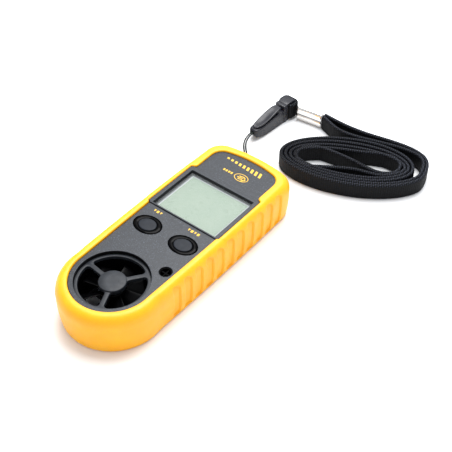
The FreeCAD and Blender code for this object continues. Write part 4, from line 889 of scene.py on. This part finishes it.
def keys():
    """Glossy keys with a rolled shoulder, and their satin caps."""
    for label, side in (("set", 1), ("mode", -1)):
        body = f"{label}_key"
        centre = (side * KEY_X, KEY_Y)
        key = stack(body, centre, KEY_FOOT + [oval_level(rx, z) for rx, z in KEY_SHOULDER])
        finished(key, body, "key_gloss", f"{label}_button")
        cap = stack(f"{body}_cap", centre, [oval_level(rx, z) for rx, z in CAP_LEVELS])
        finished(cap, body, "key_cap", f"{label}_button_cap")


# ---- duct guard and rotor

GUARD_R = 13.95
BORE_R = 12.6
HUB_R = 5.2
ARM_COUNT = 3
ARM_HALF = 0.9
ARM_ANGLE = radians(-6)
ROOT_R = 1.3
GUARD_LOW = 14.1
GUARD_HIGH = 15.6
GUARD_EDGE = 0.22
HUB_TOP = 16.1
SEAT_R = 1.27
SEAT_TOP = 15.52
AXIS = Vector((0, ROTOR_Y))


def bearing(radius, angle):
    """A point at a distance and a heading from the rotor's axis."""
    return AXIS + Vector((cos(angle), sin(angle))) * radius


def turned(name, levels, sides=64):
    """A round piece on the rotor's axis, through levels of (radius, height)."""
    return stack(name, AXIS, [(r, r, z) for r, z in levels], sides)


def sector(start, end):
    """Opening between two guard arms, with its four corners rounded."""
    lean = {r: asin((ARM_HALF + ROOT_R) / r) for r in (HUB_R + ROOT_R, BORE_R - ROOT_R)}
    outer, inner = BORE_R - ROOT_R, HUB_R + ROOT_R
    quarter = pi / 2
    first, last = start + lean[outer], end - lean[outer]
    line = arc(bearing(outer, first), ROOT_R, start - quarter, first, 7)
    line += arc(AXIS, BORE_R, first, last, 40)
    line += arc(bearing(outer, last), ROOT_R, last, end + quarter, 7)
    first, last = start + lean[inner], end - lean[inner]
    line += arc(bearing(inner, last), ROOT_R, end + quarter, last + 2 * quarter, 7)
    line += arc(AXIS, HUB_R, last, first, 16)
    line += arc(bearing(inner, first), ROOT_R, first + 2 * quarter, start + 3 * quarter, 7)
    return [point for point, _ in line]


def plate(name, outlines, low, high, edge):
    """A flat piece between two heights from its outer outline and its holes, with rounded edges."""
    data = bpy.data.curves.new(name, "CURVE")
    data.dimensions = "2D"
    data.fill_mode = "BOTH"
    data.extrude = ((high - low) / 2 - edge) * MM
    data.bevel_depth = edge * MM
    data.bevel_resolution = 2
    data.offset = -edge * MM
    for outline in outlines:
        spline = data.splines.new("POLY")
        spline.points.add(len(outline) - 1)
        for knot, point in zip(spline.points, outline):
            knot.co = (point[0] * MM, point[1] * MM, 0, 1)
        spline.use_cyclic_u = True
    holder = placed(name, data)
    mesh = bpy.data.meshes.new_from_object(holder)
    bpy.data.objects.remove(holder)
    mesh.transform(Matrix.Translation((0, 0, (low + high) / 2 * MM)))
    turn_outwards(mesh, weld=True)
    mesh.polygons.foreach_set("use_smooth", [True] * len(mesh.polygons))
    return sharpened(placed(name, mesh), 40)


def guard():
    """Front guard: ring, arms with rounded roots, and a raised hub with the bearing's seat under it."""
    rim = [point for point, _ in arc(AXIS, GUARD_R, 0, 2 * pi, 120)]
    third = 2 * pi / ARM_COUNT
    holes = [sector(ARM_ANGLE + third * i, ARM_ANGLE + third * (i + 1))[::-1] for i in range(ARM_COUNT)]
    frame_plate = plate("guard_frame", [rim] + holes, GUARD_LOW, GUARD_HIGH, GUARD_EDGE)
    hub = turned("guard_hub", [
        (HUB_R - 0.1, GUARD_LOW + 0.1), (HUB_R, GUARD_LOW + 0.3),
        (HUB_R, HUB_TOP - 0.3), (HUB_R - 0.08, HUB_TOP - 0.1), (HUB_R - 0.28, HUB_TOP),
        (2.5, HUB_TOP + 0.03), (0.6, HUB_TOP + 0.04)], 96)
    for part in (frame_plate, hub):
        carved(part, turned("jewel_seat", [(SEAT_R, GUARD_LOW - 1), (SEAT_R, SEAT_TOP)]))
    finished(joined("guard", frame_plate, hub), "case", "guard_plastic", "front_guard")


BLADE_COUNT = 8
BLADE_TIP_R = 11.9
BLADE_ROOT_R = 3.9
BLADE_ROOT_PITCH = 52
BLADE_TWIST = 16
BLADE_ROOT_THICK = 0.85
BLADE_TAPER = 0.35
BLADE_CAMBER = 0.5
BLADE_CLEAR = 0.9
BLADE_STEPS = 8
ROTOR_HUB_R = 4.4
AXLE_BORE_R = 0.52
rotor_low, rotor_high = (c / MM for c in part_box("impeller"))


def blade_section(radius):
    """One section of a blade, round its cambered edge: steep and thick at the root, flatter at the tip."""
    share = (radius - BLADE_ROOT_R) / (BLADE_TIP_R - BLADE_ROOT_R)
    pitch = radians(BLADE_ROOT_PITCH - BLADE_TWIST * share)
    thick = BLADE_ROOT_THICK - BLADE_TAPER * share
    half_chord = (rotor_high.z - rotor_low.z - BLADE_CLEAR) / 2 / sin(pitch)
    middle = (rotor_low.z + rotor_high.z) / 2
    section = []
    for k in range(20):
        a = 2 * pi * k / 20
        along = half_chord * cos(a)
        camber = BLADE_CAMBER * (1 - (along / half_chord) ** 2)
        off = thick / 2 * copysign(abs(sin(a)) ** 0.7, sin(a)) + camber
        run = along * cos(pitch) - off * sin(pitch)
        rise = along * sin(pitch) + off * cos(pitch)
        section.append((radius * cos(run / radius), radius * sin(run / radius), middle + rise))
    return section


def rotor():
    """Impeller: a round hub, bored for the axle and the magnet, and twisted blades."""
    long = BLADE_TIP_R - BLADE_ROOT_R
    sections = [blade_section(BLADE_ROOT_R + long * i / BLADE_STEPS) for i in range(BLADE_STEPS + 1)]
    hub = turned("rotor_hub", [
        (ROTOR_HUB_R - 0.4, rotor_low.z), (ROTOR_HUB_R, rotor_low.z + 0.4), (ROTOR_HUB_R, rotor_high.z - 0.5),
        (ROTOR_HUB_R - 0.15, rotor_high.z - 0.15), (ROTOR_HUB_R - 0.5, rotor_high.z)], 72)
    magnet_low, magnet_high = (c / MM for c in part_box("sensing_magnet"))
    for radius, low, high in ((AXLE_BORE_R, rotor_low.z - 1, rotor_high.z + 1),
                              (magnet_high.x + 0.02, magnet_low.z - 0.02, magnet_high.z + 1)):
        carved(hub, turned("hub_bore", [(radius, low), (radius, high)]))
    pieces = [hub]
    for i in range(BLADE_COUNT):
        turn = Matrix.Rotation(2 * pi * i / BLADE_COUNT, 3, "Z")
        rings = [[turn @ Vector(p) + Vector((*AXIS, 0)) for p in section] for section in sections]
        pieces.append(loft(f"blade_{i}", rings))
    finished(joined("rotor", *pieces), "rotor", "rotor_plastic", "impeller")


# ---- quick release and ferrule

CLIP_TIP = (21.2, -77.4)
CLIP_TURN = -94.0
CLIP_LONG = 18.7
COLLAR_START = 18.8
COLLAR_LONG = 1.7
BLOCK_LONG = 5.8
RING_START = 21.45
RING_LONG = 6.6
RING_HALF = 4.07
RING_CORNER = 1.7
WEBBING_LOW = 0.85
# Half width, underside and top of the string's hole, the foot's notch and the tongue's cavity.
HOLE = (1.25, 3.5, 4.95)
HOLE_END = 3.4
HOLE_CORNER = 0.6
NOTCH = (4, -1, 0.6)
NOTCH_START = 15.6
NOTCH_END = 17.0
CAVITY = (1.65, 1.45, 5.55)
CAVITY_START = 12.4
# Stations along the clip body: (along, half width, underside, top, keel).
BODY_STATIONS = [
    (0.0, 1.2, 3.3, 4.8, 0.3), (0.25, 1.6, 2.7, 5.25, 0.5), (0.9, 2.0, 1.8, 5.6, 0.7),
    (2.0, 2.25, 1.0, 5.68, 0.8), (3.6, 2.42, 0.35, 5.6, 0.9), (5.0, 2.55, 0.06, 5.62, 0.8),
    (6.5, 2.6, 0.02, 5.72, 0.5), (11.0, 2.6, 0.02, 6.4, 0.35), (18.2, 2.6, 0.02, 6.95, 0.3),
    (CLIP_LONG, 2.5, 0.1, 6.9, 0.3),
]
# Stations along the thumb leaf: (along, half width, underside, top, hollow).
LEAF_STATIONS = [
    (1.2, 0.7, 5.75, 6.15, 0.0), (1.6, 1.15, 5.75, 6.45, 0.02), (2.6, 1.65, 5.8, 6.8, 0.15),
    (4.2, 2.0, 5.85, 7.0, 0.38), (6.0, 2.22, 6.1, 7.25, 0.5), (8.0, 2.32, 6.75, 7.65, 0.5),
    (10.0, 2.34, 7.45, 8.1, 0.42), (12.0, 2.3, 7.75, 8.6, 0.3), (14.0, 2.24, 8.0, 8.95, 0.18),
    (15.8, 2.12, 8.15, 9.12, 0.08), (17.2, 1.9, 8.3, 9.1, 0.03), (17.8, 1.5, 8.5, 8.9, 0.0),
]
FERRULE_START = (14.4, -102.9)
FERRULE_TURN = -173.5
FERRULE_LONG = 12.5
FERRULE_THICK = 3.9
FERRULE_WALL = 0.35
FERRULE_STEPS = 24
CREASE_HALF = 0.5
CREASE_DEEP = 0.26


def set_down(piece, place=CLIP_TIP, degrees=CLIP_TURN):
    """Turn a piece that was built along X and put it in its place."""
    piece.data.transform(Matrix.Translation((place[0] * MM, place[1] * MM, 0))
                         @ Matrix.Rotation(radians(degrees), 4, "Z"))
    return piece


def keeled(x, half, low, high, keel, corner=0.35):
    """Upright section of a boat-shaped bar, its lower corners cut off by a keel."""
    corners = [(-half + keel, low), (half - keel, low), (half, low + keel), (half, high), (-half, high),
               (-half, low + keel)]
    return [(x, y, z) for y, z in rounded(corners, corner, 4)]


def clip_body():
    """String half of the quick release: a keeled body with its hole, notch and cavity."""
    body = loft("clip_body", [keeled(*station) for station in BODY_STATIONS])
    hole = prism("hole", rounded(oblong(*HOLE), HOLE_CORNER), -1, HOLE_END)
    notch = prism("notch", oblong(*NOTCH), NOTCH_START, NOTCH_END)
    cavity = prism("cavity", oblong(*CAVITY), CAVITY_START, CLIP_LONG + 1)
    carved(body, hole, notch, cavity)
    finished(set_down(sharpened(body, 32)), "case", "clip_plastic", "clip_receiver")


def leaf_section(x, half, low, high, dish):
    """Section of the thumb leaf: flat below, hollowed above."""
    ring = []
    for k in range(13):
        y = -half + 2 * half * k / 12
        ring.append((x, y, high - dish * (1 - (y / half) ** 2) - 0.18 * abs(y / half) ** 8))
    ring.append((x, half * 1.02, (low + high) / 2))
    for k in range(7):
        ring.append((x, half * 0.97 * (1 - k / 3), low))
    ring.append((x, -half * 1.02, (low + high) / 2))
    return ring


def thumb_leaf():
    """Springy leaf that frees the quick release, hollowed for the thumb and raised at its end."""
    leaf = loft("thumb_leaf", [leaf_section(*station) for station in LEAF_STATIONS])
    soft = leaf.modifiers.new("soft", "SUBSURF")
    soft.levels = 1
    soft.render_levels = 1
    applied(leaf)
    finished(set_down(leaf), "release_lever", "clip_plastic", "clip_lever")


def barred(name, start, end, half, low, high, edge):
    """A bar along X with all its edges rounded."""
    rings = []
    for x, back in ((start, edge), (start + 0.3 * edge, 0.3 * edge), (start + edge, 0), (end - edge, 0),
                    (end - 0.3 * edge, 0.3 * edge), (end, edge)):
        corners = oblong(half - back, low + back, high - back)
        rings.append([(x, y, z) for y, z in rounded(corners, edge, 4)])
    return sharpened(loft(name, rings), 35)


def clip_end():
    """Strap half of the quick release: collar, tongue, and the block that holds the webbing."""
    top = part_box("clip_socket")[1].z / MM
    block_start = COLLAR_START + COLLAR_LONG
    piece = joined(
        "clip_end",
        barred("clip_end", COLLAR_START, block_start + 0.2, 2.6, 0.02, top - 0.15, 0.12),
        barred("clip_block", block_start, block_start + BLOCK_LONG, 2.45, 0.02, top, 0.22),
        barred("clip_tongue", CLIP_LONG - 6, COLLAR_START + 0.2, 1.5, 1.6, 5.4, 0.25))
    finished(set_down(piece), "strap", "clip_plastic", "clip_socket")


def webbing_wrap():
    """Webbing round the block of the quick release."""
    inset = STRAP_THICK / 2
    start, end, half = RING_START + inset, RING_START + RING_LONG - inset, RING_HALF - inset
    corners = rounded([(start, -half), (end, -half), (end, half), (start, half)], RING_CORNER, 8)
    loop = [Vector((x, y, 0)) for x, y in corners]
    wrap = ribbon("webbing_wrap", loop + [loop[0]], WEBBING_LOW)
    finished(set_down(wrap), "strap", "webbing", "webbing_loop")


def ferrule_section(x, swell, thick):
    """Section of the crimped sleeve: two lobes with a crease between them."""
    half_high = FERRULE_HIGH / 2
    section = []
    for k in range(64):
        a = 2 * pi * (k + 0.5) / 64
        rise = sin(a)
        z = half_high * copysign(abs(rise) ** 0.9, rise)
        crease = exp(-(z / CREASE_HALF) ** 2)
        lit_crown = cos(a)
        across = copysign(abs(lit_crown) ** 0.62, lit_crown) * FERRULE_THICK / 2 * (1 - CREASE_DEEP * crease)
        section.append((x, across * swell * thick, half_high + z * thick))
    return section


def sleeve():
    """Crimped bright sleeve that holds both plies."""
    outer, inner = [], []
    for i in range(FERRULE_STEPS + 1):
        share = i / FERRULE_STEPS
        end = min(share, 1 - share)
        swell = 1 - 0.05 * smooth(end * 6) + 0.02 * sin(3 * pi * share)
        x = FERRULE_LONG * share
        outer.append(ferrule_section(x, swell, 1.0 if 0 < i < FERRULE_STEPS else 0.975))
        inner.append(ferrule_section(x, swell, 1 - 2 * FERRULE_WALL / FERRULE_THICK))
    piece = loft("crimped_sleeve", outer + inner[::-1], closed=True)
    finished(set_down(piece, FERRULE_START, FERRULE_TURN), "strap", "chrome", "ferrule")


# ---- printed marks

FACE_Z = 17.08
INK_HIGH = 0.03
BAR_COUNT = 9
BAR_START = (9.6, -45.6)
BAR_PITCH = 2.05
MARK_X = -2.5
MARK_Y = -38.7
OVAL_RX = 3.105
OVAL_RY = 2.025
SQUARE_COUNT = 4
SQUARE_PITCH = 1.25
SIGN_Y = -3.8
SIGN_PITCH = 1.5


def stroke(points, wide):
    """Outline of a brush stroke along some points."""
    line = [Vector(p) for p in points]
    left, right = [], []
    for point, ahead in zip(line, headings(line)):
        across = Vector((-ahead.y, ahead.x)) * wide / 2
        left.append(point + across)
        right.append(point - across)
    return left + right[::-1]


def slab(x, y, wide, high, lean=0):
    """Outline of an upright mark from its lower corner, leaning over by a distance at its top."""
    return [(x, y), (x - wide, y), (x - wide - lean, y + high), (x - lean, y + high)]


def gust(x, y, long, curl, wide=0.42):
    """A line of wind that ends in a curl."""
    points = [(x - long * k / 8, y + 0.16 * sin(2.2 * k / 8 * pi)) for k in range(9)]
    centre = Vector((points[-1][0], points[-1][1] + curl))
    for k in range(1, 11):
        a = -pi / 2 - 1.35 * pi * k / 10
        points.append(tuple(centre + Vector((cos(a), sin(a))) * curl))
    return stroke(points, wide)


def prints():
    """Pad-printed marks: rising bars, a wind sign in an oval, small squares, and signs by the keys."""
    shapes = []
    for i in range(BAR_COUNT):
        rise = 0.9 + 0.22 * i
        shapes.append(slab(BAR_START[0] - BAR_PITCH * i, BAR_START[1], 1.1, rise, 0.25 * rise))
    turns = [2 * pi * k / 40 for k in range(41)]
    shapes.append(stroke([(MARK_X + OVAL_RX * cos(a), MARK_Y + OVAL_RY * sin(a)) for a in turns], 0.28))
    for row, long in ((-0.75, 2.6), (0.05, 3.6), (0.85, 2.2)):
        shapes.append(gust(MARK_X + long / 2, MARK_Y + row, long, 0.34))
    for i in range(SQUARE_COUNT):
        shapes.append(slab(MARK_X + 5.2 + SQUARE_PITCH * i, MARK_Y - 0.55, 0.8, 1.1))
    for x, count in ((KEY_X + 1.5, 3), (-KEY_X + 1.2, 4)):
        for i in range(count):
            right = x - (i - (count - 1) / 2) * SIGN_PITCH + 0.5
            box = slab(right, SIGN_Y, 1.0, 1.2)
            peak = [(right, SIGN_Y), (right - 1.0, SIGN_Y), (right - 0.5, SIGN_Y + 1.2)]
            shapes.append(box if i % 2 else peak)
    pieces = []
    for i, shape in enumerate(shapes):
        levels = (FACE_Z - 0.02, FACE_Z + INK_HIGH)
        pieces.append(loft(f"print_{i}", [[(x, y, z) for x, y in shape] for z in levels]))
    finished(sharpened(joined("printed_marks", *pieces), 30), "case", "ink")


# ---- stage

AIR = (0.96, 0.98, 1, 1)
AIR_STRENGTH = 0.78
FLOOR_HALF = 1500
# Each soft light's name, place, watts and width; all point at the origin.
LIGHTS = (("back_light", (266, -420, 440), 0.9, 460), ("top_light", (80, -230, 620), 6.4, 470))


def stage():
    """White floor, white surroundings and two soft lights."""
    world = bpy.data.worlds.new("studio")
    bpy.context.scene.world = world
    world.use_nodes = True
    air = world.node_tree.nodes["Background"].inputs
    air["Color"].default_value = AIR
    air["Strength"].default_value = AIR_STRENGTH
    corners = [(x, y, 0) for x, y in oblong(FLOOR_HALF, -FLOOR_HALF, FLOOR_HALF)]
    floor = solid("floor", corners, [(0, 1, 2, 3)])
    paper = Finish("floor_paper", Roughness=0.9, specular=0.1)
    paper.mottle((243, 244, 246), (246, 247, 249), 40)
    floor.data.materials.append(paper.material)
    for name, place, power, wide in LIGHTS:
        data = bpy.data.lights.new(name, "AREA")
        data.energy = power
        data.size = wide * MM
        lamp = placed(name, data)
        lamp.location = Vector(place) * MM
        lamp.rotation_euler = (-Vector(place)).to_track_quat("-Z", "Y").to_euler()
    bpy.context.scene.view_settings.view_transform = "Standard"


camera()
stage()
dress_nodes()
strap()
string()
boot()
keys()
guard()
rotor()
clip_body()
thumb_leaf()
clip_end()
webbing_wrap()
sleeve()
prints()
